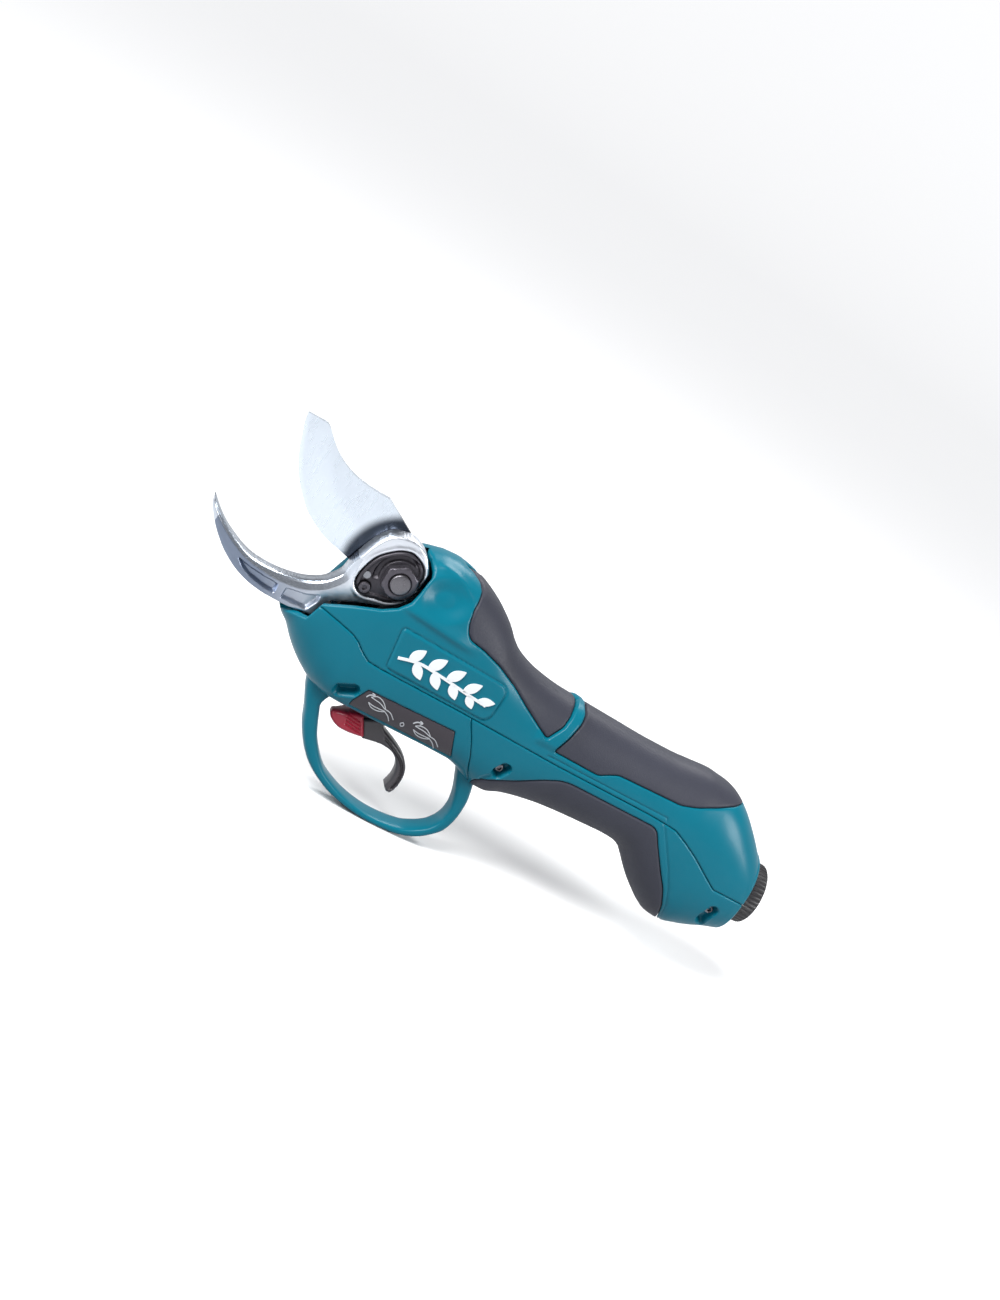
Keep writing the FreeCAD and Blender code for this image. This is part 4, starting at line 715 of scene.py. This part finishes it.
def seam_lip():
    """Dark tube behind the seams, so that no light passes from one side to the other."""
    middle_x = skin[:, SECTION_STEPS // 2, 0]
    keep = [i for i, x in enumerate(middle_x) if 64.0 <= x <= 206.0]
    tubes = []
    for depth in (2.1, 2.6):
        half = skin_raised[keep] - normals[keep] * depth
        tubes.append(np.concatenate([half, half[:, SECTION_STEPS - 1:0:-1] * MIRROR], axis=1))
    rings, count = tubes[0].shape[:2]
    n = rings * count
    faces = []
    for a, b, c, d in tube_faces(rings, count):
        faces.append((a, d, c, b))
        faces.append((n + b, n + c, n + d, n + a))
    for k in range(count):
        a, b = k, (k + 1) % count
        faces.append((b, b + n, a + n, a))
        a, b = a + n - count, b + n - count
        faces.append((a, a + n, b + n, b))
    verts = np.concatenate([tube.reshape(-1, 3) for tube in tubes])
    piece("seam_lip", verts, faces, "black_plastic")


seam_lip()

# ------------------------------------------------------------------ finger guard
# outer and inner line of the loop, x and z, from the front root round to the rear root
GUARD_OUTER = [
    (-14.2, -47.5), (-12.2, -52), (-9.5, -57.5), (-7.8, -62.2), (-5.3, -67.2), (-2.8, -72),
    (0.5, -79.3), (5, -86.2), (9.5, -91.3), (13.5, -94.6), (18, -97.4), (23, -99.9),
    (28, -101.8), (38, -104.2), (48, -105.3), (58, -105.2), (63, -104.6), (68, -103.2),
    (73, -100.6), (78, -96.4), (80.6, -92.8), (82.4, -86), (82.5, -78), (81.6, -73), (80, -67),
    (79, -60), (77, -53)]
GUARD_INNER = [
    (17, -49), (13.5, -54), (9, -57.5), (4.5, -61.5), (2.6, -66.5), (4.2, -71), (7.5, -78),
    (10.5, -83), (16.5, -90.2), (22, -94.7), (32, -99.1), (42, -101.5), (52, -102.1),
    (62, -100.9), (67, -98.9), (72, -95.7), (74.7, -92.6), (76.6, -88), (76.7, -82),
    (74.7, -75.6), (72, -69.9), (69.5, -65), (66.5, -60.5), (62, -57.5), (56, -52)]
GUARD_STEPS = 220           # points along the loop
GUARD_SIDES = 22            # steps round its half section
GUARD_POWER = 3.2           # superellipse exponent of the section


def resample(points, count):
    fine = curve(points, n=12)
    steps = np.linalg.norm(np.diff(fine, axis=0), axis=1)
    length = np.concatenate([[0], np.cumsum(steps)])
    even = np.linspace(0, length[-1], count)
    return np.stack([np.interp(even, length, fine[:, k]) for k in (0, 1)], -1)


def finger_guard():
    verts = []
    lines = zip(resample(GUARD_OUTER, GUARD_STEPS), resample(GUARD_INNER, GUARD_STEPS))
    for k, (outer, inner) in enumerate(lines):
        middle, half = (outer + inner) / 2, (outer - inner) / 2
        # the loop widens at both roots
        root = max(0.0, 1 - min(k, GUARD_STEPS - 1 - k) / 26.0)
        half_width = 6.0 + 5.5 * root ** 2
        for j in range(GUARD_SIDES + 1):
            angle = math.pi * j / GUARD_SIDES
            c, s = math.cos(angle), math.sin(angle)
            point = middle + half * math.copysign(abs(c) ** (2 / GUARD_POWER), c)
            y = -max(0.0, half_width * abs(s) ** (2 / GUARD_POWER))
            verts.append((point[0], y, point[1]))
    row = GUARD_SIDES + 1
    faces = []
    for k in range(GUARD_STEPS - 1):
        for j in range(GUARD_SIDES):
            a, b = k * row + j, k * row + j + 1
            faces.append((a, b, b + row, a + row))
    left = np.array(verts), faces
    for side, shape in (("left", left), ("right", mirrored(*left))):
        ob = piece("finger_guard_" + side, *shape, "teal_casing", sharp=60)
        ob["note"] = "part of guard_shell_" + side


finger_guard()

# ------------------------------------------------------------------ hook
# outline in x, z: inner edge from the tip, hub, underside of the hub, step, back of the hook
HOOK_INNER = [
    (-84.2, -5.3), (-81.5, -8), (-76.7, -12.2), (-70.5, -16.2), (-62, -20.1), (-55, -21.7),
    (-45, -21.8), (-35, -19.9), (-28, -16.5), (-24.4, -13), (-21.9, -9), (-21.2, -4.5),
    (-20.2, -0.5), (-18.5, 5)]
HOOK_HUB = [(-18.5, 5), (-16, 11), (-12, 16), (-6, 18), (-2, 18), (2, 16.5), (5, 14.5),
            (8.5, 10), (9.5, 8)]
HOOK_UNDER_HUB = [(9.5, 8), (9, 0), (8, -5), (5, -9.5), (0, -13), (-10, -17), (-20.5, -22)]
HOOK_STEP = [(-20.5, -22), (-21.5, -24), (-24, -31.5)]
HOOK_BACK = [
    (-24, -31.5), (-30, -32), (-35, -32.7), (-45, -32.6), (-50, -32.1), (-55, -31.1),
    (-60, -29.4), (-65, -27), (-70, -23.9), (-74, -20.6), (-77, -17.7), (-80, -14.2), (-83, -10)]
# tear-shaped seat of the lock plate
SEAT = [(-16.5, -6), (-15.5, -10), (-12.5, -12.3), (-9, -12.6), (-5, -11.6), (0, -10.6),
        (4, -8.2), (7.35, -4.4), (7.9, 1), (7.9, 6), (6, 9.8), (2, 12.4), (-2, 13.2), (-6, 12),
        (-10, 9), (-13.5, 5), (-15.5, 0)]
# two long pockets side by side along the hook
POCKETS = [
    round_corners([(-63.4, -23.4), (-57, -24.7), (-50, -25.5), (-43, -25.8), (-42.7, -30.2),
                   (-48, -29.8), (-55, -28.4), (-60, -26.2)], radius=1.0),
    round_corners([(-39.3, -25.6), (-31, -24.2), (-25.2, -21.8), (-25.0, -24.5),
                   (-27.4, -29.8), (-39.3, -30.4)], radius=1.0)]
hook_outline = np.concatenate([
    curve(HOOK_INNER[:-1], n=6)[:-1], curve(HOOK_HUB, n=6)[:-1],
    curve(HOOK_UNDER_HUB, n=6)[:-1], curve(HOOK_STEP, n=4)[:-1], curve(HOOK_BACK, n=6)])
hook_inner_line = curve(HOOK_INNER, n=6)
seat_outline = curve(SEAT, closed=True, n=6)


def ground_width(x):
    """Width of the ground strip along the hook's inner edge."""
    return 3.4 - 1.9 * ease(-30, -60, x)


def hook_near(x, z, inset):
    points = np.stack([x, z], -1)
    y = HOOK_FACE_Y + edge_drop(inset, 1.0)
    # ground bevel, fading out at the hub
    to_inner = path_distance(hook_inner_line, points)
    y += 1.7 * np.clip(1 - to_inner / ground_width(x), 0, 1) * (1 - ease(-6, 2, z))
    # thinner towards the tip
    y += 3.2 * ease(-60, -84, x)
    in_seat = signed_distance(seat_outline, points)
    y += 2.5 * ease(-0.5, 0.55, in_seat)
    y -= 0.35 * bell(in_seat + 1.3, 0.8)
    for pocket in POCKETS:
        y += 2.3 * ease(-0.4, 0.9, signed_distance(pocket, points))
    return y


def hook_far(x, z, inset):
    return -1.7 - edge_drop(inset, 0.35)


def hook():
    ob = piece("counter_blade_forged", *plate(hook_outline, 0.3, hook_near, hook_far),
               "hook_steel", node="counter_blade", sharp=35)
    # faces of the ground strip and the tip take the brighter material
    ob.data.materials.append(MATERIALS["hook_ground"])
    centres = np.array([p.center[:] for p in ob.data.polygons]) * 1000 + ORIGIN
    x, z = centres[:, 0], centres[:, 2]
    ground = path_distance(hook_inner_line, centres[:, [0, 2]]) < ground_width(x)
    ground = (ground & (z < 1) & (x < -18)) | (x < -79)
    for polygon, is_ground in zip(ob.data.polygons, ground):
        if is_ground:
            polygon.material_index = 1


hook()

# ------------------------------------------------------------------ moving blade
ARM_ANGLE = math.radians(248)        # direction of the forked drive arm from the pivot
ARM = np.array([math.cos(ARM_ANGLE), math.sin(ARM_ANGLE)])
ACROSS_ARM = np.array([-ARM[1], ARM[0]])
# fork outline: distance along the arm, offset across it
FORK = [(13, 7.3), (30, 7.3), (30, 3.3), (20.6, 3.3), (20.2, 0), (20.6, -3.3), (30, -3.3),
        (30, -7.3), (15, -7.3)]
# cutting edge, spine and hub in x, z
BLADE_TIP = (-67.9, 42.1)
BLADE_EDGE = [
    (-20.4, -5.1), (-25.9, -3.7), (-31.9, -2.4), (-36.9, -0.6), (-41.9, 1.9), (-46.9, 5.1),
    (-51.9, 9.9), (-56.9, 15.6), (-61.9, 24.1), (-64.9, 31.6), (-66.9, 37.1), BLADE_TIP]
BLADE_SPINE = [
    (-58.9, 42.1), (-56.9, 41.1), (-53.9, 38.1), (-49.9, 34.6), (-46.9, 32.4), (-41.9, 29.8),
    (-36.9, 28.1), (-31.9, 27.1), (-26.9, 26.6), (-19.4, 26.4)]
BLADE_HUB = [(1.1, 14.7), (5.5, 12.2), (8.8, 8.4), (10.2, 3.5), (10, -2), (8.2, -6.2), (6, -9.5)]
blade_outline = np.concatenate([
    [BLADE_TIP], curve(BLADE_SPINE, n=6), curve(BLADE_HUB, n=5),
    [ARM * along + ACROSS_ARM * offset for along, offset in FORK], [(-16, -7.5)],
    curve(BLADE_EDGE, n=6)[:-1]])
blade_edge_line = curve(BLADE_EDGE, n=6)


def blade_near(x, z, inset):
    """Wide hollow towards the cutting edge, with a narrow bevel on it."""
    to_edge = path_distance(blade_edge_line, np.stack([x, z], -1))
    y = -1.6 + 1.1 * (1 - ease(0.0, 15.0, to_edge))
    return y + 0.30 * np.clip(1 - to_edge / 1.4, 0, 1)


piece("moving_blade_ground", *plate(blade_outline, 0.45, blade_near, flat_at(1.6)),
      "blade_steel", body="blade", node="moving_blade", sharp=30)


# ------------------------------------------------------------------ lock plate, nut and bolt
def lock_plate_near(x, z, inset):
    y = -10.1 - 1.1 * (1 - ease(1.2, 1.7, inset))
    y += edge_drop(inset, 0.5)
    # sunk crescent round the nut
    radius = np.hypot(x, z)
    angle = np.degrees(np.arctan2(z, x))
    turn = np.where(angle < -120, angle + 360, angle)
    y += (1.3 * ease(8.6, 9.2, radius) * (1 - ease(10.9, 11.6, radius)) * ease(62, 78, turn)
          * (1 - ease(196, 206, turn)))
    # round dimple in the lobe
    y += 0.9 * (1 - ease(2.6, 3.0, np.hypot(x + 11.5, z + 9.3)))
    return y


lock_plate_outline = curve([(x * 0.965 - 0.1, z * 0.965) for x, z in SEAT], closed=True, n=6)
piece("nut_lock_plate_pressed", *plate(lock_plate_outline, 0.33, lock_plate_near, flat_at(-8.2)),
      "black_steel", node="nut_lock_plate")

NUT_FLATS = 14.2            # across flats
NUT_TURN = math.radians(32)
NUT_POINTS = 96
# y, largest radius: body, chamfer, washer face, thread mouth
NUT_PROFILE = [(-8.3, math.inf), (-13.1, math.inf), (-13.7, 7.75), (-14.1, 7.1), (-14.2, 6.6),
               (-14.2, 5.1), (-13.8, 4.6), (-13.4, 4.45)]
BOLT_POINTS = 48
# y, radius
BOLT_PROFILE = [(-12.9, 4.38), (-15.1, 4.38), (-15.5, 4.05), (-15.62, 3.6), (-15.66, 1.5),
                (-15.66, 0.02)]


def nut_radius(largest, angle):
    from_flat = (angle - NUT_TURN) % (math.pi / 3) - math.pi / 6
    return min(NUT_FLATS / 2 / math.cos(from_flat), largest)


piece("pivot_nut_hex", rings_about_y(NUT_PROFILE, NUT_POINTS, shape=nut_radius),
      tube_faces(len(NUT_PROFILE), NUT_POINTS), "dark_steel", node="pivot_nut", sharp=25)
piece("pivot_bolt_end", rings_about_y(BOLT_PROFILE, BOLT_POINTS),
      tube_faces(len(BOLT_PROFILE), BOLT_POINTS), "dark_steel", look="bolt_end_steel", sharp=25)

# ------------------------------------------------------------------ trigger and lock
# x, z outlines
LEVER_TOP = [(26.9, -55.0), (28.2, -52.0), (31, -50.9), (33.8, -52.0), (35.1, -55.0)]
LEVER_REAR = [
    (35.1, -55.0), (34.2, -58.6), (32.0, -61.2), (31.4, -63.0), (33.2, -64.8), (36.6, -66.4),
    (40.6, -68.2), (45.7, -71.1), (49.2, -74.3), (51.2, -78.4), (51.8, -83.2), (51.2, -87.0),
    (50.3, -89.1)]
LEVER_TIP = [(50.0, -89.4), (48.2, -89.2), (46.6, -87.7)]
LEVER_FRONT = [(46.4, -87.4), (47.0, -84.4), (47.1, -80.9), (45.9, -76.8), (43.0, -73.3),
               (39.4, -71.6), (34.4, -71.2), (29.6, -71.9)]
lever_outline = np.concatenate([
    [(27.2, -61.5), (26.9, -55.0)], curve(LEVER_TOP, n=6)[1:-1], curve(LEVER_REAR, n=6),
    curve(LEVER_TIP, n=4), curve(LEVER_FRONT, n=6), [(26.2, -72.6), (24.6, -70.0), (21.4, -64.4)]])
lever_channel_line = curve(LEVER_REAR[4:11] + [(51.0, -88.0)], n=6)


def lever_near(x, z, inset):
    """Rounded edge, with a lengthwise channel beside the rear face."""
    to_rear = path_distance(lever_channel_line, np.stack([x, z], -1))
    channel = (ease(1.0, 1.35, to_rear) * (1 - ease(2.0, 2.5, to_rear)) * ease(33.5, 36.0, x)
               * ease(-88.2, -86.6, z))
    return -4.08 + edge_drop(inset, 1.5) + 1.1 * channel


piece("trigger_lever_moulded",
      *plate(lever_outline, 0.3, lever_near, lambda x, z, inset: -lever_near(x, z, inset)),
      "black_plastic", look="lever_plastic", body="trigger", node="trigger_lever", sharp=35)

SLIDER_TOP = [(9.6, -70.9), (8.5, -69.2), (8.6, -67.6), (10.6, -66.5), (14.4, -64.6),
              (17.6, -62.9), (20.8, -62.3)]
SLIDER_REAR = [(21.0, -62.5), (23.4, -66.6), (26.0, -71.0)]
SLIDER_BOTTOM = [(25.7, -71.6), (20, -72.5), (14.6, -72.6), (11.6, -72.0)]
slider_outline = np.concatenate([
    curve(SLIDER_TOP, n=6), curve(SLIDER_REAR, n=4), curve(SLIDER_BOTTOM, n=6)])


def slider_near(x, z, inset):
    """Wedge with a sloping nose and four finger grooves along it."""
    y = -5.5 + edge_drop(inset, 1.7) + 2.2 * ease(15.5, 9.0, x)
    for k in range(4):
        groove_z = -65.0 - 1.5 * k - 0.13 * (x - 18)
        y = y + (0.75 * (1 - ease(0.2, 0.55, np.abs(z - groove_z)))
                 * ease(13.5 + 0.5 * k, 14.6 + 0.5 * k, x)
                 * (1 - ease(20.6 + 0.9 * k, 21.6 + 0.9 * k, x)))
    return y


piece("lock_slider_moulded",
      *plate(slider_outline, 0.3, slider_near, lambda x, z, inset: -slider_near(x, z, inset)),
      "red_plastic", body="lock", node="lock_slider")

# ------------------------------------------------------------------ housing screws
# centre x, z, y of the head's face, head radius
SCREWS = [(5.0, -53.5, -12.7, 2.3), (81.3, -51.5, -15.2, 2.0), (200.9, -65.3, -15.9, 2.0)]
SCREW_POINTS = 40
SCREW_END_Y, SHANK_RADIUS = 10.8, 1.5
SOCKET_RADII = (1.05, 1.2)  # bottom and mouth of the hexagon socket


def screw_radius(radius, angle):
    if radius in SOCKET_RADII:
        return radius * (0.88 / math.cos((angle % (math.pi / 3)) - math.pi / 6))
    return radius


def housing_screws():
    verts, faces = [], []
    for x, z, face_y, head in SCREWS:
        profile = [
            (face_y + 1.1, 0.02), (face_y + 1.1, SOCKET_RADII[0]),
            (face_y + 0.1, SOCKET_RADII[1]), (face_y, 1.4), (face_y, head - 0.6),
            (face_y + 0.18, head - 0.25), (face_y + 0.55, head), (face_y + 2.3, head),
            (face_y + 2.4, SHANK_RADIUS), (SCREW_END_Y, SHANK_RADIUS), (SCREW_END_Y, 0.02)]
        faces += [(a, d, c, b) for a, b, c, d
                  in tube_faces(len(profile), SCREW_POINTS, first=len(verts))]
        verts += rings_about_y(profile, SCREW_POINTS, (x, z), screw_radius)
    piece("housing_screws_turned", verts, faces, "dark_steel", look="bolt_end_steel",
          node="housing_screws", sharp=30)


housing_screws()

# ------------------------------------------------------------------ coupling ring
RING_POINTS, RING_RIBS, RIB_DEPTH = 320, 40, 0.65
# x, radius, whether ribbed
RING_PROFILE = [
    (212.85, 12.5, False), (212.85, 13.6, False), (213.2, 14.0, False), (213.7, 14.3, True),
    (216.5, 14.35, True), (219.6, 14.3, True), (220.1, 14.0, False), (220.55, 13.5, False),
    (220.65, 12.9, False), (220.3, 12.5, False)]


def coupling_ring():
    verts = []
    for x, radius, ribbed in RING_PROFILE:
        for k in range(RING_POINTS):
            angle = 2 * math.pi * k / RING_POINTS
            wave = 0.5 + 0.5 * math.cos(angle * RING_RIBS)
            r = radius - (RIB_DEPTH * (1 - wave ** 0.6) if ribbed else 0)
            verts.append((x, r * math.cos(angle), ORIGIN[2] + r * math.sin(angle)))
    piece("coupling_ring_knurled", verts, tube_faces(len(RING_PROFILE), RING_POINTS),
          "black_plastic", body="ring", node="coupling_ring", sharp=30)


coupling_ring()


# ------------------------------------------------------------------ printed marks
def skin_y(x, z):
    """y of the plain skin on the left side."""
    top, bottom, half_width, high, low = (np.interp(x, station_x, v) for v in stations)
    power = np.where(z < (top + bottom) / 2, low, high)
    q = np.clip(np.abs((z - (top + bottom) / 2) / ((top - bottom) / 2)), 0, 0.999)
    return -half_width * (1 - q ** power) ** (1 / power)


def on_skin(flat, lift):
    """Skin points that the camera sees at x, z places on the side plane, lifted a little."""
    flat = np.asarray(flat, float)
    y = np.full(len(flat), -19.0)
    for _ in range(12):
        share = (y - camera_at[1]) / (SIDE_PLANE_Y - camera_at[1])
        x = camera_at[0] + share * (flat[:, 0] - camera_at[0])
        z = camera_at[2] + share * (flat[:, 1] - camera_at[2])
        y = skin_y(x, z)
    points = np.stack([x, y, z], -1)
    along_x = np.stack([x + 0.3, skin_y(x + 0.3, z), z], -1) - points
    along_z = np.stack([x, skin_y(x, z + 0.3), z + 0.3], -1) - points
    normal = np.cross(along_x, along_z)
    normal /= np.linalg.norm(normal, axis=1, keepdims=True)
    normal[normal[:, 1] > 0] *= -1
    return points + normal * lift


def leaf(x, z, degrees, length, width, n=14, m=5):
    """Leaf from its stem at x, z, as a grid of n by m quads."""
    c, s = math.cos(math.radians(degrees)), math.sin(math.radians(degrees))
    points = []
    for i in range(n + 1):
        t = i / n
        half = width / 2 * math.sin(math.pi * t) ** 0.8 * (1.1 - 0.35 * t)
        for j in range(m + 1):
            across, along = (j / m * 2 - 1) * half, t * length
            points.append((x + along * c - across * s, z + along * s + across * c))
    return points, [tuple(quad) for quad in grid_quads(n + 1, m + 1).tolist()]


def stroke(points, width):
    """Smooth line of even width."""
    line = curve(points, n=6)
    run = np.gradient(line, axis=0)
    run /= np.linalg.norm(run, axis=1, keepdims=True) + 1e-9
    across = np.stack([-run[:, 1], run[:, 0]], -1) * width / 2
    edges = [tuple(p) for a, b in zip(line, across) for p in (a + b, a - b)]
    return edges, [(2 * i, 2 * i + 1, 2 * i + 3, 2 * i + 2) for i in range(len(line) - 1)]


def marks(name, shapes, lift, thick, slot, look):
    """Lays flat shapes on the left side of the casing, and mirrored on the right."""
    verts, faces = [], []
    for points, flat_faces in shapes:
        first, n = sum(map(len, verts)), len(points)
        verts += [on_skin(points, lift), on_skin(points, lift - thick)]
        sides = [(b, a, a + n, b + n) for a, b in rim(flat_faces)]
        faces += [tuple(i + first for i in face) for face in flat_faces + sides]
    left = np.concatenate(verts), faces
    for side, shape in (("left", left), ("right", mirrored(*left))):
        piece(name + "_" + side, *shape, slot, look=look, sharp=30)


TWIG = [(14.5, -26.5), (24, -24.4), (36, -25.2), (48, -26.6), (58.5, -27.6)]
# stem x, z, direction in degrees, length, width
LEAVES = [
    (19.0, -25.2, 58, 8.4, 4.9), (22.0, -25.0, -44, 8.2, 4.7), (28.0, -24.6, 52, 9.0, 5.1),
    (31.0, -25.1, -47, 8.2, 4.8), (37.4, -25.2, 50, 9.0, 5.0), (40.4, -25.8, -48, 7.6, 4.5),
    (46.4, -26.4, 46, 8.6, 4.7), (49.2, -26.9, -45, 6.6, 4.0), (54.0, -27.2, 18, 7.8, 4.0)]
marks("panel_twig_mark", [stroke(TWIG, width=1.2)] + [leaf(*row) for row in LEAVES],
      lift=1.0, thick=0.9, slot="teal_casing", look="print_white")


def shears_sign(x, z, gape):
    """Small outline of the tool: blade, hook and two handle lines; gape lifts the blade."""
    blade = [(x, z + 1.6 * gape), (x + 2.4, z + 1.0 + 2.2 * gape),
             (x + 5.6, z + 0.9 + 1.2 * gape), (x + 8.2, z - 0.8),
             (x + 5.0, z - 0.2 + 0.9 * gape), (x + 2.4, z - 0.1 + 1.3 * gape),
             (x, z + 1.6 * gape)]
    hook_sign = [(x + 0.2, z - 1.4), (x + 2.4, z - 2.9), (x + 5.6, z - 3.0), (x + 8.4, z - 1.8),
                 (x + 5.4, z - 1.9), (x + 2.6, z - 1.9), (x + 0.2, z - 1.4)]
    handles = [[(x + 8.2, z - 0.8), (x + 11.0, z - 1.3), (x + 13.6, z - 3.4)],
               [(x + 8.4, z - 1.8), (x + 10.6, z - 3.0), (x + 12.2, z - 4.8)]]
    return [stroke(line, width=0.34) for line in [blade, hook_sign] + handles]


# an arc and an arrow head by each sign, then a small loop: points, width
LABEL_LINES = [
    ([(12.6, -48.6), (13.4, -47.2), (15.0, -46.4)], 0.5),
    ([(14.0, -45.9), (15.4, -46.2), (14.9, -47.5)], 0.4),
    ([(36.2, -49.6), (37.6, -48.2), (39.6, -47.8)], 0.5),
    ([(38.4, -47.2), (39.9, -47.7), (39.1, -48.9)], 0.4),
    ([(31.4, -52.2), (32.4, -51.4), (33.2, -52.4), (32.2, -53.2), (31.4, -52.2)], 0.35)]
marks("label_pictogram",
      shears_sign(14.4, -48.9, gape=0.75) + shears_sign(37.6, -50.6, gape=0.25)
      + [stroke(*row) for row in LABEL_LINES],
      lift=0.06, thick=0.1, slot="label_black", look="print_grey")

# ------------------------------------------------------------------ floor (metres)
FLOOR_X = -0.15
FLOOR_LEVEL_RADIUS, FLOOR_RADIUS = 2.2, 9.0
FLOOR_RINGS, FLOOR_POINTS = 41, 96


def add_object(name, data):
    ob = bpy.data.objects.new(name, data)
    bpy.context.scene.collection.objects.link(ob)
    return ob


def floor_material():
    """Pale floor that throws less light back up than it shows to the camera."""
    made = bpy.data.materials.new("floor_pale")
    made.use_nodes = True
    tree = made.node_tree
    link = tree.links.new
    shader = tree.nodes["Principled BSDF"]
    shader.inputs["Base Color"].default_value = (0.90, 0.90, 0.90, 1)
    shader.inputs["Roughness"].default_value = 0.9
    shader.inputs["Specular IOR Level"].default_value = 0.0
    ray = add_node(tree, "ShaderNodeLightPath")
    mix = add_node(tree, "ShaderNodeMix", data_type="RGBA", values={
        "A": (0.34, 0.35, 0.37, 1), "B": (0.98, 0.98, 0.98, 1)})
    seen = add_node(tree, "ShaderNodeMath", operation="MAXIMUM")
    link(ray.outputs["Is Camera Ray"], seen.inputs[0])
    # reflections see it partly bright
    reflected = add_node(tree, "ShaderNodeMath", {1: 0.45}, operation="MULTIPLY")
    link(ray.outputs["Is Glossy Ray"], reflected.inputs[0])
    link(reflected.outputs[0], seen.inputs[1])
    link(seen.outputs[0], mix.inputs["Factor"])
    link(mix.outputs["Result"], shader.inputs["Base Color"])
    return made


def add_floor():
    """Level under the tool, then a very gentle sweep up so that no horizon shows."""
    low_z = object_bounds()[0].z
    verts = [(FLOOR_X, 0.0, low_z)]
    for i in range(FLOOR_RINGS):
        growth = FLOOR_RADIUS / FLOOR_LEVEL_RADIUS
        r = FLOOR_LEVEL_RADIUS * growth ** (i / (FLOOR_RINGS - 1))
        z = low_z + 0.11 * max(0.0, r - FLOOR_LEVEL_RADIUS) ** 2
        for k in range(FLOOR_POINTS):
            angle = 2 * math.pi * k / FLOOR_POINTS
            verts.append((FLOOR_X + r * math.cos(angle), r * math.sin(angle), z))
    faces = [(0, 1 + k, 1 + (k + 1) % FLOOR_POINTS) for k in range(FLOOR_POINTS)]
    faces += [(a, d, c, b) for a, b, c, d in tube_faces(FLOOR_RINGS, FLOOR_POINTS, first=1)]
    mesh = bpy.data.meshes.new("floor")
    mesh.from_pydata(verts, [], faces)
    mesh.polygons.foreach_set("use_smooth", [True] * len(mesh.polygons))
    floor = add_object("floor", mesh)
    mesh.materials.append(floor_material())


add_floor()


# ------------------------------------------------------------------ light and camera (metres)
def add_light(name, kind, direction, location=(0, 0, 0), **settings):
    light = bpy.data.lights.new(name, kind)
    for key, value in settings.items():
        setattr(light, key, value)
    ob = add_object(name, light)
    ob.location = location
    ob.rotation_mode = "QUATERNION"
    ob.rotation_quaternion = Vector(direction).to_track_quat("-Z", "Y")


def add_area(name, location, target, size, power):
    add_light(name, "AREA", Vector(target) - Vector(location), location, energy=power, size=size)


world_light = bpy.data.worlds.new("studio")
bpy.context.scene.world = world_light
world_light.use_nodes = True
background = world_light.node_tree.nodes["Background"]
background.inputs["Color"].default_value = (0.93, 0.95, 1.0, 1)
background.inputs["Strength"].default_value = 0.24

add_light("sun", "SUN", direction=(0.52, 0.40, -0.85), energy=2.6, angle=0.45)
add_area("left", location=(-0.85, -0.30, 0.40), target=(-0.22, 0, 0.03), size=0.35, power=4.8)
add_area("rear_top", location=(0.05, 0.5, 0.75), target=(-0.10, 0, 0.0), size=0.4, power=4.0)
add_area("tail", location=(0.50, -0.45, 0.35), target=(0.0, 0, 0.0), size=0.3, power=4.0)

camera = bpy.data.cameras.new("photo_view")
camera.lens = LENS
camera.sensor_width = SENSOR_WIDTH
camera.clip_start = 0.01
camera.clip_end = 20
camera_object = add_object("photo_view", camera)
turn_to_view = Matrix((view_right, view_up, view_back)).transposed()
camera_object.matrix_world = (Matrix.Translation(Vector(world(camera_at)))
                              @ turn_to_view.to_4x4())
bpy.context.scene.camera = camera_object
bpy.context.scene.view_settings.view_transform = "Standard"
